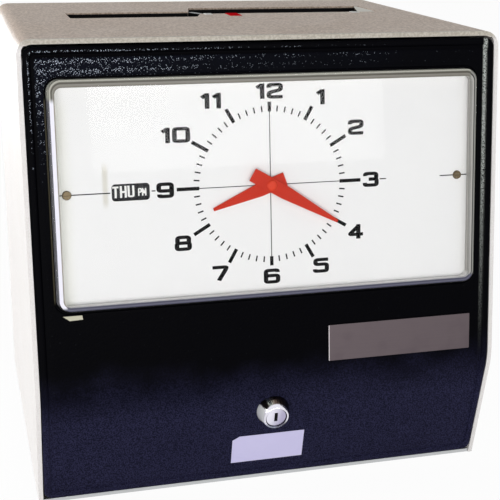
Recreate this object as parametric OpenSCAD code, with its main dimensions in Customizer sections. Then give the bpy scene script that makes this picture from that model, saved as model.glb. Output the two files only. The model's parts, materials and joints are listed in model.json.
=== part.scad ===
// Time clock with a top card slot, a dial behind a clear lens and a hinged, lockable front.
// Millimetres, +Z up, the front faces -Y, the origin is under the middle of the object.

/* [Case] */
// Width over the case sides
case_w = 260; // [250:1:300]
// Height of the case without its feet
case_h = 252; // [250:1:290]
// Depth from the knee of the front to the rear edge
case_d = 220; // [214:1:280]
// Wall of the moulded case
case_wall = 2.4; // [1.8:0.1:3.2]
// Outer radius of the two long top edges
case_edge_r = 8; // [5:0.5:12]
// How far the case edge stays behind the bead of the front
case_inset = 1.0; // [0.5:0.1:2]
// How far the back plate is let into the case
back_inset = 4; // [3:0.5:6]

/* [Front] */
// Lean of the upper front, degrees from upright
lean = 7.1; // [4:0.1:9]
// Tuck of the lower front, degrees from upright
tuck = 12.2; // [8:0.1:15]
// Height of the knee above the bottom edge of the front
knee_h = 65.4; // [62:0.1:72]
// Radius of the soft knee
knee_r = 40; // [30:1:60]
// Thickness of the front at its bead
panel_t = 3.2; // [2.8:0.1:4]
// How far the textured field lies behind the bead
field_inset = 0.8; // [0.4:0.1:1.2]
// Width of the raised bead round the front
bead_w = 4; // [3:0.5:6]
// Corner radius of the front
panel_r = 5; // [4:0.5:8]
// Gap between the front and the case sides
panel_gap = 0.5; // [0.4:0.1:0.8]
// Gap above the front
panel_top_gap = 1.0; // [0.9:0.1:1.5]
// Gap between the front and the base plate
panel_foot_gap = 1.0; // [0.8:0.1:2]

/* [Window and dial] */
// Distance of the window from each side of the front
window_side = 10.6; // [10:0.2:14]
// Distance of the window below the upper edge of the front, along the front
window_head = 16.1; // [15:0.1:20]
// Distance of the window above the knee, along the front
window_sill = 46.5; // [44:0.5:52]
// Corner radius of the window
window_r = 6.4; // [5:0.2:10]
// How far the lens stands proud of the bead
lens_proud = 2; // [1:0.1:3]
// Thickness of the lens
lens_t = 2; // [1.5:0.1:2.6]
// Depth of the dial face behind the bead
dial_depth = 5; // [5:0.1:6]
// Height of the hands' centre above the middle of the window
dial_rise = 0.6; // [0:0.1:2]
// Thickness of the dial
dial_t = 1.2; // [0.8:0.1:2]
// Length of the minute hand from centre to tip
minute_l = 42.6; // [36:0.2:48]
// Length of the hour hand from centre to tip
hour_l = 33.9; // [26:0.2:36]
// Width of the broad part of each hand
hand_w = 7.4; // [5:0.2:9]

/* [Lock] */
// Distance of the lock below the knee, along the front
lock_s = 21.6; // [19:0.2:26]
// Height of the lock's collar above the field
lock_h = 8; // [5:0.5:10]
// Radius of the collar at its base
collar_r = 9.3; // [8.5:0.1:11]
// Radius of the collar at its face
collar_face_r = 7.4; // [7.1:0.1:8]
// Radius of the lock's plug
plug_r = 6; // [5:0.1:6.2]

/* [Card slot] */
// Distance of the slot from the left side of the case
slot_left = 37.6; // [34:0.2:44]
// Distance of the slot from the right side of the case
slot_right = 28; // [26:0.5:34]
// Where the slot steps back
slot_step_x = -16; // [-30:1:0]
// Front edge of the slot's left lane, ahead of the rear edge of the case
slot_front = 99.2; // [96:0.2:102]
// Rear edge of the slot's right lane, ahead of the rear edge of the case
slot_rear = 48; // [44:0.5:54]
// Step between the lanes
slot_step = 16.2; // [12:0.2:18]
// Middle of the card's path, ahead of the rear edge of the case
card_back = 77; // [76:0.5:78]
// Width of the card's path
card_gap = 7; // [6:0.5:8]
// Thickness of the sheets of the card chute
sheet_t = 1.5; // [1:0.1:2]

/* [Movement] */
// Module of the gears
gear_m = 0.75; // [0.7:0.01:0.78]
// Thickness of the movement's plates
plate_t = 1.5; // [1.2:0.1:2]
// Radius of the minute arbor
arbor_r = 1.5; // [1.2:0.1:1.8]
// Radial clearance of every shaft in its bearing
run_gap = 0.06; // [0.02:0.01:0.1]
// Radius of the motor
motor_r = 25; // [20:1:27]
// Length of the motor
motor_l = 24; // [18:1:34]
// Radius of the calendar drums
drum_r = 13; // [10:0.5:14]

/* [Printer] */
// Radius of the type wheels
type_r = 17; // [14:0.5:17.5]
// Height of the line of print
print_z = 166; // [160:1:172]
// Radius of the flanges of the ribbon spools
spool_r = 18; // [14:0.5:19]
// Room between the case wall and each side frame
frame_gap = 9.6; // [8:0.2:12]

/* [Feet] */
// Height of the rubber feet
foot_h = 6; // [4:0.5:12]
// Radius of the rubber feet
foot_r = 9; // [7:0.5:12]

/* [Hidden] */

putty = "#d3cdbe";
black = "#1b1b20";
steel = "#a9adb0";
dark_steel = "#6f7478";
brass = "#b99a4f";

seat = 0.3;

// The main levels and the knee
base_t = 2;
base_top = foot_h + base_t;
top_z = foot_h + case_h;
inner_top = top_z - case_wall;
panel_z0 = base_top + panel_foot_gap;
panel_z1 = inner_top - panel_top_gap;
knee_z = panel_z0 + knee_h;
collar_bevel = 0.5;
nose_y = lock_s * sin(tuck) - (lock_h - field_inset) * cos(tuck) - (collar_face_r - collar_bevel) * sin(tuck);
knee_y = -(case_d + nose_y) / 2;
inner_w = case_w - 2 * case_wall;
panel_w = inner_w - 2 * panel_gap;
back_t = 2;
back_y = case_d - back_inset;

// The window follows the front, and the slot and the card's path follow the case
window_w = panel_w - 2 * window_side;
window_h = (panel_z1 - knee_z) / cos(lean) - window_head - window_sill;
window_s = window_sill + window_h / 2;
dial_s = window_s + dial_rise;
slot_x0 = slot_left - case_w / 2;
slot_x1 = case_w / 2 - slot_right;
slot_y0 = case_d - slot_front;
slot_y1 = case_d - slot_rear;
card_y = case_d - card_back;
frame_w = inner_w - 2 * frame_gap;

// A distance behind the knee turned into a place in the frame
function yy(d) = knee_y + d;
// The front surface, shifted inwards by inset, at a height
function up_y(z, inset) = knee_y + (z - knee_z) * tan(lean) + inset / cos(lean);
function low_y(z, inset) = knee_y + (knee_z - z) * tan(tuck) + inset / cos(tuck);
knee_cz = knee_z + knee_r * (1 / cos(tuck) - 1 / cos(lean)) / (tan(lean) + tan(tuck));
knee_cy = up_y(knee_cz, knee_r);

// Children lie on the upper front: X right, Y up the front, Z outwards
module upper(x = 0, s = 0, out = 0)
    translate([x, knee_y + s * sin(lean) - out * cos(lean), knee_z + s * cos(lean) + out * sin(lean)])
        rotate([90 - lean, 0, 0]) children();

// Children lie on the lower front, s below the knee
module lower(x = 0, s = 0, out = 0)
    translate([x, knee_y + s * sin(tuck) - out * cos(tuck), knee_z - s * cos(tuck) - out * sin(tuck)])
        rotate([90 + tuck, 0, 0]) children();

// A Y-Z outline drawn out along X about x
module along_x(x, w) translate([x, 0, 0]) rotate([90, 0, 90]) linear_extrude(w, center = true) children();

// An X-Z outline drawn out along Y from y0 to y1
module along_y(y0, y1) translate([0, y1, 0]) rotate([90, 0, 0]) linear_extrude(y1 - y0) children();

module bar_x(x0, x1, y, z, r) translate([x0, y, z]) rotate([0, 90, 0]) cylinder(h = x1 - x0, r = r, $fn = 48);

module bar_y(x, y0, y1, z, r) translate([x, y0, z]) rotate([-90, 0, 0]) cylinder(h = y1 - y0, r = r, $fn = 48);

module box(x0, x1, y0, y1, z0, z1) translate([x0, y0, z0]) cube([x1 - x0, y1 - y0, z1 - z0]);

module round_rect(w, h, r) {
    square([w - 2 * r, h], center = true);
    square([w, h - 2 * r], center = true);
    for (x = [-1, 1], y = [-1, 1])
        translate([x * (w / 2 - r), y * (h / 2 - r)]) circle(r, $fn = 48);
}

// A plate with its two upper corners round
module arch(w, z0, z1, r) {
    translate([-w / 2, z0]) square([w, z1 - z0 - r]);
    translate([-w / 2 + r, z0]) square([w - 2 * r, z1 - z0]);
    for (x = [-1, 1]) translate([x * (w / 2 - r), z1 - r]) circle(r, $fn = 64);
}

// Side view of the object behind its front surface, with the soft knee
module profile(inset, z0, z1) {
    r = knee_r - inset;
    polygon([[yy(case_d), z0], [low_y(z0, inset), z0],
             [knee_cy - r * cos(tuck), knee_cz - r * sin(tuck)],
             [knee_cy - r * cos(lean), knee_cz + r * sin(lean)],
             [up_y(z1, inset), z1], [yy(case_d), z1]]);
    translate([knee_cy, knee_cz]) circle(r, $fn = 128);
}

// A wheel whose teeth have straight roots and pointed tips
function tooth_pts(n, m, i) = let(rp = m * n / 2, rr = rp - 1.15 * m, ra = rp + 0.85 * m,
    a = 360 / n * i, w = 360 / n * 0.215)
    [for (p = [[rr, -1.12], [rp, -1], [rp + 0.45 * m, -0.78], [ra, -0.3],
               [ra, 0.3], [rp + 0.45 * m, 0.78], [rp, 1], [rr, 1.12]])
        [p[0] * cos(a + p[1] * w), p[0] * sin(a + p[1] * w)]];
module gear_2d(n, m) polygon([for (i = [0 : n - 1]) for (p = tooth_pts(n, m, i)) p]);

// Hinge of the front
hinge_depth = 5.5;
hinge_drop = 8;
hinge_z = panel_z1 - hinge_drop;
hinge_y = up_y(hinge_z, hinge_depth);
hinge_pin_r = 1.5;
lug_r = 3.2;
hinge_boss_r = 3;
lug_w = 5.6;
lug_x1 = inner_w / 2 - 6;
lug_x0 = lug_x1 - lug_w;
pin_end_x = inner_w / 2 - 0.5;

// A bar on the hinge axis between two distances from the middle, on the side of sign x
module pair_bar(x, near, far, r) bar_x(x > 0 ? near : -far, x > 0 ? far : -near, hinge_y, hinge_z, r);

// Fixing bosses of the case
boss_r = 5;
boss_x = inner_w / 2 - 4;
boss_h = 18;
boss_floor = 3;
boss_y = [40, case_d - 24];
rear_boss_z = [base_top + 40, case_h - 30];
screw_r = 1.9;
screw_hole_r = screw_r + 0.1;
screw_l = 12;

// Card slot and chute
lane_y0 = slot_y0 + slot_step;
lane_y1 = slot_y1 - 23;
chute_y0 = card_y - card_gap / 2 - sheet_t;
chute_y1 = card_y + card_gap / 2 + sheet_t;
chute_z0 = 70;
throat_h = 17.6;
throat_z = inner_top - throat_h;
throat_t = 2;
print_x = slot_x1 - 62;
side_x = frame_w / 2;
side_t = 1.6;

// The outline steps back between the two lanes
step_x0 = slot_step_x - 1;
step_x1 = slot_step_x + 4;
function slot_outline(t) = [[slot_x0 - t, yy(slot_y0 - t)], [step_x0 + t / 2, yy(slot_y0 - t)],
    [step_x1 + t / 2, yy(lane_y0 - t)], [slot_x1 + t, yy(lane_y0 - t)],
    [slot_x1 + t, yy(slot_y1 + t)], [step_x1 - t / 2, yy(slot_y1 + t)],
    [step_x0 - t / 2, yy(lane_y1 + t)], [slot_x0 - t, yy(lane_y1 + t)]];

module case_shell() color(putty) difference() {
    union() {
        difference() {
            intersection() {
                along_y(yy(-20), yy(case_d)) arch(case_w, foot_h, top_z, case_edge_r);
                along_x(0, case_w + 2) profile(case_inset, foot_h - 1, top_z + 1);
            }
            along_y(yy(-21), yy(case_d + 1))
                arch(inner_w, foot_h - 1, inner_top, case_edge_r - case_wall);
            swing_relief();
            mirror([1, 0, 0]) swing_relief();
        }
        for (x = [-1, 1]) {
            for (d = boss_y) translate([x * boss_x, yy(d), base_top]) cylinder(h = boss_h, r = boss_r, $fn = 48);
            for (z = rear_boss_z) bar_y(x * boss_x, yy(back_y - back_t - boss_h), yy(back_y - back_t), z, boss_r);
            pair_bar(x, lug_x1 + 0.5, inner_w / 2 + 1, hinge_boss_r);
        }
    }
    for (x = [-1, 1]) {
        for (d = boss_y) translate([x * boss_x, yy(d), base_top - 1]) cylinder(h = boss_h - boss_floor, r = screw_hole_r, $fn = 48);
        for (z = rear_boss_z) bar_y(x * boss_x, yy(back_y - back_t - boss_h + boss_floor + 1), yy(back_y), z, screw_hole_r);
        pair_bar(x, lug_x1, pin_end_x, hinge_pin_r);
    }
    translate([0, 0, inner_top - 1]) linear_extrude(case_wall + 2) polygon(slot_outline(0));
    slot_rim(slot_x0 + 1, step_x0 - 1, slot_y0);
    slot_rim(slot_x0 + 1, step_x0 - 1, lane_y1);
    slot_rim(step_x1 + 1, slot_x1 - 1, lane_y0);
    slot_rim(step_x1 + 1, slot_x1 - 1, slot_y1);
    // The right end is bevelled more
    translate([slot_x1, yy(lane_y0 + 1), top_z]) rotate([0, 45, 0])
        translate([-end_rim / 2, 0, -end_rim / 2]) cube([end_rim, slot_y1 - lane_y0 - 2, end_rim]);
}

// Room in the case's upper corner for the corner of the front as it swings
swing_r = panel_top_gap + hinge_drop;
swing_w = 5.2;
swing_cone = 1.2;
module swing_relief() translate([lug_x1 - 0.6, hinge_y, hinge_z]) rotate([0, 90, 0]) {
    cylinder(h = swing_w, r = swing_r, $fn = 64);
    translate([0, 0, swing_w]) cylinder(h = swing_cone, r1 = swing_r, r2 = swing_r - swing_cone * 4 / 3, $fn = 64);
}

// Bevel along one long edge of the slot
rim = 0.9;
end_rim = 2.2;
module slot_rim(x0, x1, d) translate([x0, yy(d), top_z]) rotate([45, 0, 0])
    translate([0, -rim / 2, -rim / 2]) cube([x1 - x0, rim, rim]);

module base_plate() color(steel) difference() {
    union() {
        box(-inner_w / 2 + seat, inner_w / 2 - seat, low_y(foot_h, case_inset) + 0.6, yy(back_y - back_t), foot_h, base_top);
        // Strike of the lock's cam
        box(-9, 9, strike_y - 2, strike_y, foot_h + 1, strike_z);
        // Upstand behind which the back plate seats
        box(-inner_w / 2 + 14, inner_w / 2 - 14, yy(back_y - back_t - 1.5), yy(back_y - back_t), foot_h + 1, base_top + 14);
    }
    for (x = [-1, 1], d = boss_y)
        translate([x * boss_x, yy(d), foot_h - 1]) cylinder(h = base_t + 2, r = screw_hole_r, $fn = 48);
    for (x = [-1, 1], d = foot_y)
        translate([x * foot_x, yy(d), foot_h - 1]) cylinder(h = base_t + 2, r = screw_hole_r, $fn = 48);
}

strike_y = yy(30);
strike_z = base_top + 24;
foot_x = case_w / 2 - 26;
foot_y = [44, case_d - 36];

module rubber_feet() color("#26262a") for (x = [-1, 1], d = foot_y)
    translate([x * foot_x, yy(d), 0]) difference() {
        cylinder(h = foot_h, r1 = foot_r - 1.2, r2 = foot_r, $fn = 64);
        translate([0, 0, -1]) cylinder(h = 3.6, r = 4.4, $fn = 48);
        cylinder(h = foot_h + 1, r = screw_hole_r + 0.2, $fn = 48);
    }

module pan_screw(l) {
    difference() {
        cylinder(h = 2.2, r = 3.6, $fn = 48);
        translate([-0.4, -3, 1.3]) cube([0.8, 6, 1]);
    }
    translate([0, 0, -l]) cylinder(h = l + 1, r = screw_r, $fn = 48);
}

// Screw and nut that hold one foot
module foot_screw() {
    difference() {
        translate([0, 0, 0.7]) cylinder(h = 1.9, r = 3.8, $fn = 48);
        translate([-0.4, -3, 0.6]) cube([0.8, 6, 1]);
    }
    translate([0, 0, 2.5]) cylinder(h = foot_h + base_t + 1.5, r = screw_r, $fn = 48);
    translate([0, 0, base_top]) cylinder(h = 2.4, r = 3.5, $fn = 6);
}

module case_screws() color(steel) {
    for (x = [-1, 1], d = foot_y) translate([x * foot_x, yy(d), 0]) foot_screw();
    for (x = [-1, 1], d = boss_y) translate([x * boss_x, yy(d), foot_h]) mirror([0, 0, 1]) pan_screw(screw_l);
    for (x = [-1, 1], z = rear_boss_z) translate([x * boss_x, yy(back_y), z]) rotate([-90, 0, 0]) pan_screw(screw_l);
}

// Wall holes and cord inlet of the back plate
wall_x = case_w / 2 - 40;
wall_z = [70, case_h - 42];
wall_r = 2.75;
inlet_z = 38;
inlet_r = 9;
module back_plate() color(steel) difference() {
    along_y(yy(back_y - back_t), yy(back_y)) arch(inner_w - 2 * seat, base_top, inner_top - seat, case_edge_r - case_wall);
    for (x = [-1, 1], z = wall_z) bar_y(x * wall_x, yy(back_y - back_t - 1), yy(back_y + 1), z, wall_r);
    for (x = [-1, 1], z = rear_boss_z) bar_y(x * boss_x, yy(back_y - back_t - 1), yy(back_y + 1), z, screw_hole_r + 0.1);
    bar_y(0, yy(back_y - back_t - 1), yy(back_y + 1), inlet_z, inlet_r);
}

bushing_rim = 2.5;
bushing_l = 4;
cord_r = 4.2;
module cord_bushing() color(black) translate([0, yy(back_y), inlet_z]) rotate([-90, 0, 0]) difference() {
    union() {
        cylinder(h = 3, r = inlet_r + bushing_rim, $fn = 64);
        translate([0, 0, -back_t - bushing_l]) cylinder(h = back_t + bushing_l + 1, r = inlet_r - 0.1, $fn = 64);
    }
    translate([0, 0, -back_t - bushing_l - 1]) cylinder(h = back_t + bushing_l + 5, r = cord_r, $fn = 64);
}

mark_t = 0.4;
mark_gap = 1.5;
red_mark = [7, 13.5];
red_mark_x = slot_step_x + 19.4;
white_mark = [4.6, 6.5];
white_mark_x = [slot_step_x + 8, slot_x1 - 16];
module index_mark(x, size) box(x, x + size[0], yy(lane_y0 - mark_gap - size[1]), yy(lane_y0 - mark_gap), top_z, top_z + mark_t);

module red_index_mark() color("#c8202a") index_mark(red_mark_x, red_mark);

module white_index_marks() color("#f4f2ec") for (x = white_mark_x) index_mark(x - white_mark[0] / 2, white_mark);

module card_throat() color(black) difference() {
    union() {
        difference() {
            translate([0, 0, throat_z]) linear_extrude(inner_top - throat_z) polygon(slot_outline(throat_t));
            translate([0, 0, throat_z + throat_t]) linear_extrude(inner_top - throat_z) polygon(slot_outline(0));
        }
        // Ramps that lead a card to the gap
        intersection() {
            translate([0, 0, throat_z]) linear_extrude(20) polygon(slot_outline(throat_t / 2));
            union() {
                along_x((slot_x0 + slot_x1) / 2, slot_x1 - slot_x0 + 2)
                    polygon([[yy(slot_y0 - 1), throat_z + 1], [yy(card_y - card_gap / 2), throat_z + 1],
                             [yy(slot_y0 - 1), throat_z + 11]]);
                along_x((slot_x0 + slot_x1) / 2, slot_x1 - slot_x0 + 2)
                    polygon([[yy(slot_y1 + 1), throat_z + 1], [yy(card_y + card_gap / 2), throat_z + 1],
                             [yy(slot_y1 + 1), throat_z + 11]]);
            }
        }
    }
    box(slot_x0, slot_x1, yy(card_y - card_gap / 2), yy(card_y + card_gap / 2), throat_z - 1, throat_z + 30);
}

// One sheet of the chute spans the side frames
module chute_sheet(y0) box(-side_x + side_t, side_x - side_t, y0, y0 + sheet_t, chute_z0, throat_z);

lever_z = 104;
lever_x = print_x - 8;
module chute_front_plate() color(steel) difference() {
    chute_sheet(yy(chute_y0));
    box(print_x - 18, print_x + 18, yy(chute_y0 - 1), yy(chute_y0 + sheet_t + 1), print_z - 15, print_z + 15);
    box(lever_x - 2.5, lever_x + 2.5, yy(chute_y0 - 1), yy(chute_y0 + sheet_t + 1), lever_z - 14, lever_z + 5);
}

module chute_rear_plate() color(steel) difference() {
    chute_sheet(yy(chute_y1 - sheet_t));
    box(print_x - 19, print_x + 19, yy(chute_y1 - sheet_t - 1), yy(chute_y1 + 1), print_z - 17, print_z + 15);
    box(print_x - 9, print_x + 9, yy(chute_y1 - sheet_t - 1), yy(chute_y1 + 1), hammer_z + 6, print_z);
}

// Side and bottom stops between the two sheets
module card_guide() color(steel) difference() {
    box(slot_x0 - 5, slot_x1 + 5, yy(card_y - card_gap / 2), yy(card_y + card_gap / 2), chute_z0, throat_z);
    box(slot_x0, slot_x1, yy(card_y - card_gap), yy(card_y + card_gap), chute_z0 + 10, throat_z + 1);
}

// A side frame carries the movement in front and the chute in the middle
front_gap = dial_depth + dial_t + plate_t;
frame_end = 5.5;
frame_s0 = window_sill + frame_end;
frame_s1 = window_sill + window_h - frame_end;
frame_d0 = 34;
frame_d1 = card_y + 33;
frame_foot = 12;
frame_shoulder = throat_z - 4;
hole_pitch = (frame_d1 - frame_d0 - 46) / 3;
hole_rise = (throat_z - base_top - 78) / 4;
function front_edge(s) = [knee_y + s * sin(lean) + front_gap * cos(lean), knee_z + s * cos(lean) - front_gap * sin(lean)];
module side_frame(x) {
    difference() {
        along_x(x, side_t) polygon([[yy(frame_d0), base_top], [yy(frame_d1), base_top],
            [yy(frame_d1), frame_shoulder - 44], [yy(card_y + 7), frame_shoulder], [yy(card_y - 33), frame_shoulder],
            front_edge(frame_s1), front_edge(frame_s0), [yy(frame_d0), front_edge(frame_s0)[1] - 9]]);
        for (i = [0 : 3], j = [0 : 4]) along_x(x, side_t + 2)
            translate([yy(frame_d0 + 24 + hole_pitch * i), base_top + 32 + hole_rise * j])
                circle(hole_pitch * 0.375, $fn = 64);
    }
    sx = x > 0 ? 1 : -1;
    box(min(x, x - sx * frame_foot), max(x, x - sx * frame_foot), yy(frame_d0 + 18), yy(frame_d1 - 16),
        base_top, base_top + side_t);
}

module left_side_frame() color(dark_steel) side_frame(-side_x + side_t / 2);

module right_side_frame() color(dark_steel) side_frame(side_x - side_t / 2);

// Movement, laid out on the upper front with Z = 0 at the bead
dial_z = -dial_depth;
plate_z = dial_z - dial_t - plate_t;
hour_gear_z = plate_z - 3.1;
cannon_z = hour_gear_z - 4;
drive_z = cannon_z - 3.6;
rear_z = drive_z - 3;
pipe_r = arbor_r + 1.1;
wheel_dist = gear_m * 30;
motor_dist = gear_m * 36;
pinion_r = 1.2;
cal_x0 = -86;
cal_x1 = -64.6;
cal_split = -71.6;
cal_s = dial_s;
drum_z = dial_z - dial_t - drum_r - 0.4;
pillar_x = 33;
pillar_up = 35;
pillar_down = dial_s - frame_s0 - 8.6;
pillar_at = [for (x = [-1, 1], y = [pillar_up, -pillar_down]) [x * pillar_x, y]];
pillar_r = 2.6;
pillar_pin_r = 1.1;
pillar_hole_r = pillar_pin_r + 0.1;
plate_edge = 6.5;
dial_screw_x = window_w / 2 - 8.2;
dial_screw_r = 1.5;
dial_hole_r = dial_screw_r + 0.1;
stud_r = 1;
stud_l = 8.2;

module movement_plate() color(steel) upper(0, dial_s, plate_z) difference() {
    union() {
        linear_extrude(plate_t) translate([0, (frame_s0 + frame_s1) / 2 - dial_s])
            square([frame_w, frame_s1 - frame_s0], center = true);
        // Stud of the minute wheel
        translate([0, wheel_dist, -stud_l]) cylinder(h = stud_l + 0.8, r = stud_r, $fn = 32);
    }
    translate([0, 0, -1]) cylinder(h = plate_t + 2, r = pipe_r + run_gap, $fn = 48);
    for (p = pillar_at) translate([p[0], p[1], -1]) cylinder(h = plate_t + 2, r = pillar_hole_r, $fn = 32);
    for (x = [-1, 1]) translate([x * dial_screw_x, 0, -1]) cylinder(h = plate_t + 2, r = dial_hole_r, $fn = 32);
    translate([cal_x0 - cal_room, -cal_cut, -1]) cube([cal_x1 - cal_x0 + 2 * cal_room, 2 * cal_cut, plate_t + 2]);
}

// The dial is larger than the window and hangs a little lower
dial_over = [5, 7];
dial_drop = 1.9;
cal_room = 1.5;
cal_cut = 9;
day_window = [20.2, 9.4];
dial_w = window_w + dial_over[0];
dial_h = window_h + dial_over[1];
dial_mid = window_s - dial_drop;
clip_notch = [18, 1.4];
module dial_plate() color("#f2f1ec") upper(0, dial_s, dial_z - dial_t) difference() {
    linear_extrude(dial_t) translate([0, dial_mid - dial_s]) round_rect(dial_w, dial_h, 3);
    translate([0, 0, -1]) cylinder(h = dial_t + 2, r = pipe_r + 1.2, $fn = 48);
    for (x = [-1, 1]) translate([x * dial_screw_x, 0, -1]) cylinder(h = dial_t + 2, r = dial_hole_r, $fn = 32);
    translate([cal_x0 + 0.7, -4.8, -1]) cube([day_window[0], day_window[1], dial_t + 2]);
    // Room for the two lower lens clips
    for (x = clip_x) translate([x - clip_notch[0] / 2, dial_mid - dial_h / 2 - dial_s - 1, -1])
        cube([clip_notch[0], window_s - clip_s + clip_notch[1] - dial_mid + dial_h / 2 + 1, dial_t + 2]);
}

module dial_screws() color(steel) for (x = [-1, 1]) upper(x * dial_screw_x, dial_s, dial_z) {
    difference() {
        cylinder(h = 1.2, r1 = 2.5, r2 = 2.1, $fn = 48);
        translate([-3, -0.3, 0.7]) cube([6, 0.6, 1]);
    }
    translate([0, 0, -dial_t - plate_t - 1.5]) cylinder(h = dial_t + plate_t + 2, r = dial_screw_r, $fn = 32);
}

module movement_rear_plate() color(steel) upper(0, dial_s, rear_z) difference() {
    translate([0, (pillar_up - pillar_down) / 2, 0]) linear_extrude(plate_t)
        round_rect(2 * (pillar_x + plate_edge), pillar_up + pillar_down + 2 * plate_edge, 4);
    translate([0, 0, -1]) cylinder(h = plate_t + 2, r = arbor_r + run_gap, $fn = 48);
    translate([0, -motor_dist, -1]) cylinder(h = plate_t + 2, r = motor_nose_r + 0.1, $fn = 48);
    for (p = pillar_at) translate([p[0], p[1], -1]) cylinder(h = plate_t + 2, r = pillar_hole_r, $fn = 32);
}

module movement_pillars() color(brass) for (p = pillar_at) upper(p[0], dial_s + p[1], rear_z + plate_t) {
    cylinder(h = plate_z - rear_z - plate_t, r = pillar_r, $fn = 48);
    translate([0, 0, -plate_t]) cylinder(h = plate_z - rear_z + plate_t - 0.4, r = pillar_pin_r, $fn = 32);
    translate([0, 0, -plate_t - 1.6]) cylinder(h = 1.6, r = 2.4, $fn = 6);
}

motor_nose_r = 4;
motor_ears = [2 * motor_r + 10, 16];
module motor() color(steel) upper(0, dial_s - motor_dist, rear_z) difference() {
    union() {
        translate([0, 0, -1]) linear_extrude(1) round_rect(motor_ears[0], motor_ears[1], 4);
        translate([0, 0, -1 - motor_l]) cylinder(h = motor_l + 1, r = motor_r, $fn = 96);
        translate([0, 0, -1]) cylinder(h = plate_t + 1, r = motor_nose_r, $fn = 48);
    }
    translate([0, 0, -9]) cylinder(h = plate_t + 12, r = pinion_r + run_gap, $fn = 48);
}

module motor_pinion() color(brass) upper(0, dial_s - motor_dist, 0) {
    translate([0, 0, drive_z - 0.3]) linear_extrude(2.4) rotate(90 + 15) gear_2d(12, gear_m);
    translate([0, 0, rear_z - 8]) cylinder(h = drive_z - rear_z + 10.6, r = pinion_r, $fn = 48);
}

module minute_arbor() color(brass) upper(0, dial_s, 0) {
    translate([0, 0, rear_z - 2]) cylinder(h = -1 - rear_z + 2, r = arbor_r, $fn = 48);
    translate([0, 0, cannon_z]) linear_extrude(2.5) rotate(90) gear_2d(15, gear_m);
    translate([0, 0, drive_z]) linear_extrude(1.8) difference() {
        rotate(-90) gear_2d(60, gear_m);
        for (a = [45 : 90 : 315]) rotate(a) translate([12.5, 0]) circle(5.5, $fn = 48);
    }
    translate([0, 0, drive_z]) cylinder(h = cannon_z - drive_z, r = 3.2, $fn = 48);
}

module minute_wheel() color(brass) upper(0, dial_s + wheel_dist, 0) difference() {
    union() {
        translate([0, 0, cannon_z + 0.2]) linear_extrude(2) difference() {
            rotate(-90 + 4) gear_2d(45, gear_m);
            for (a = [45 : 90 : 315]) rotate(a) translate([9.5, 0]) circle(3.6, $fn = 48);
        }
        translate([0, 0, cannon_z + 2.1]) linear_extrude(hour_gear_z - cannon_z) rotate(-90) gear_2d(12, gear_m);
    }
    translate([0, 0, cannon_z - 1]) cylinder(h = 10, r = stud_r + run_gap, $fn = 32);
}

module hour_wheel() color(brass) upper(0, dial_s, 0) difference() {
    union() {
        translate([0, 0, hour_gear_z]) linear_extrude(1.8) difference() {
            rotate(90 + 3.75) gear_2d(48, gear_m);
            for (a = [45 : 90 : 315]) rotate(a) translate([10, 0]) circle(4, $fn = 48);
        }
        translate([0, 0, hour_gear_z - 0.5]) cylinder(h = hour_z + 0.8 - hour_gear_z + 0.5, r = pipe_r, $fn = 48);
    }
    translate([0, 0, hour_gear_z - 1]) cylinder(h = 12, r = arbor_r + run_gap, $fn = 48);
}

// A hand points along +Y before it is turned clockwise
hour_z = dial_z + 0.9;
minute_z = dial_z + 2.5;
module hand(l, tail, shoulder, hole_r) linear_extrude(0.8) difference() {
    polygon([[-hand_w / 2, -tail], [hand_w / 2, -tail], [hand_w / 2, shoulder], [0.8, l],
             [-0.8, l], [-hand_w / 2, shoulder]]);
    circle(hole_r, $fn = 48);
}

module hour_hand() color("#d8452c") upper(0, dial_s, hour_z) rotate(-250) hand(hour_l, 8.4, 6.5, pipe_r);

module minute_hand() color("#e04a2e") upper(0, dial_s, minute_z) rotate(-120.4) hand(minute_l, 12.2, 8.5, arbor_r);

module hand_cap() color("#e04a2e") upper(0, dial_s, minute_z + 0.8) difference() {
    union() {
        cylinder(h = 0.6, r = 2.9, $fn = 48);
        translate([0, 0, 0.6]) cylinder(h = 0.5, r1 = 2.9, r2 = 2.2, $fn = 48);
    }
    translate([0, 0, -1]) cylinder(h = 1.71, r = arbor_r, $fn = 48);
}

// Calendar drums behind the small window of the dial
drum_shaft_r = 1.5;
module calendar_bracket() color(steel) upper(0, cal_s, plate_z) difference() {
    for (x = [cal_x0 - 3.4, cal_x1 + 1.9]) translate([x, -10, drum_z - plate_z - 4])
        cube([1.5, 20, plate_z - drum_z + 4]);
    translate([cal_x0 - 5, 0, drum_z - plate_z]) rotate([0, 90, 0]) cylinder(h = 40, r = drum_shaft_r, $fn = 48);
}

module calendar_shaft() color(steel) upper(cal_x0 - 4, cal_s, drum_z) rotate([0, 90, 0])
    cylinder(h = cal_x1 - cal_x0 + 8, r = drum_shaft_r, $fn = 48);

module drum(x0, x1) upper(x0, cal_s, drum_z) rotate([0, 90, 0]) difference() {
    cylinder(h = x1 - x0, r = drum_r, $fn = 96);
    translate([0, 0, -1]) cylinder(h = x1 - x0 + 2, r = drum_shaft_r + run_gap, $fn = 48);
    for (a = [0 : 60 : 300]) rotate(a) translate([drum_r * 0.58, 0, -1]) cylinder(h = x1 - x0 + 2, r = 2.2, $fn = 32);
}

module day_drum() color("#2b2c30") drum(cal_x0, cal_split - 0.2);

module half_day_drum() color("#2b2c30") drum(cal_split + 0.2, cal_x1);

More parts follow.
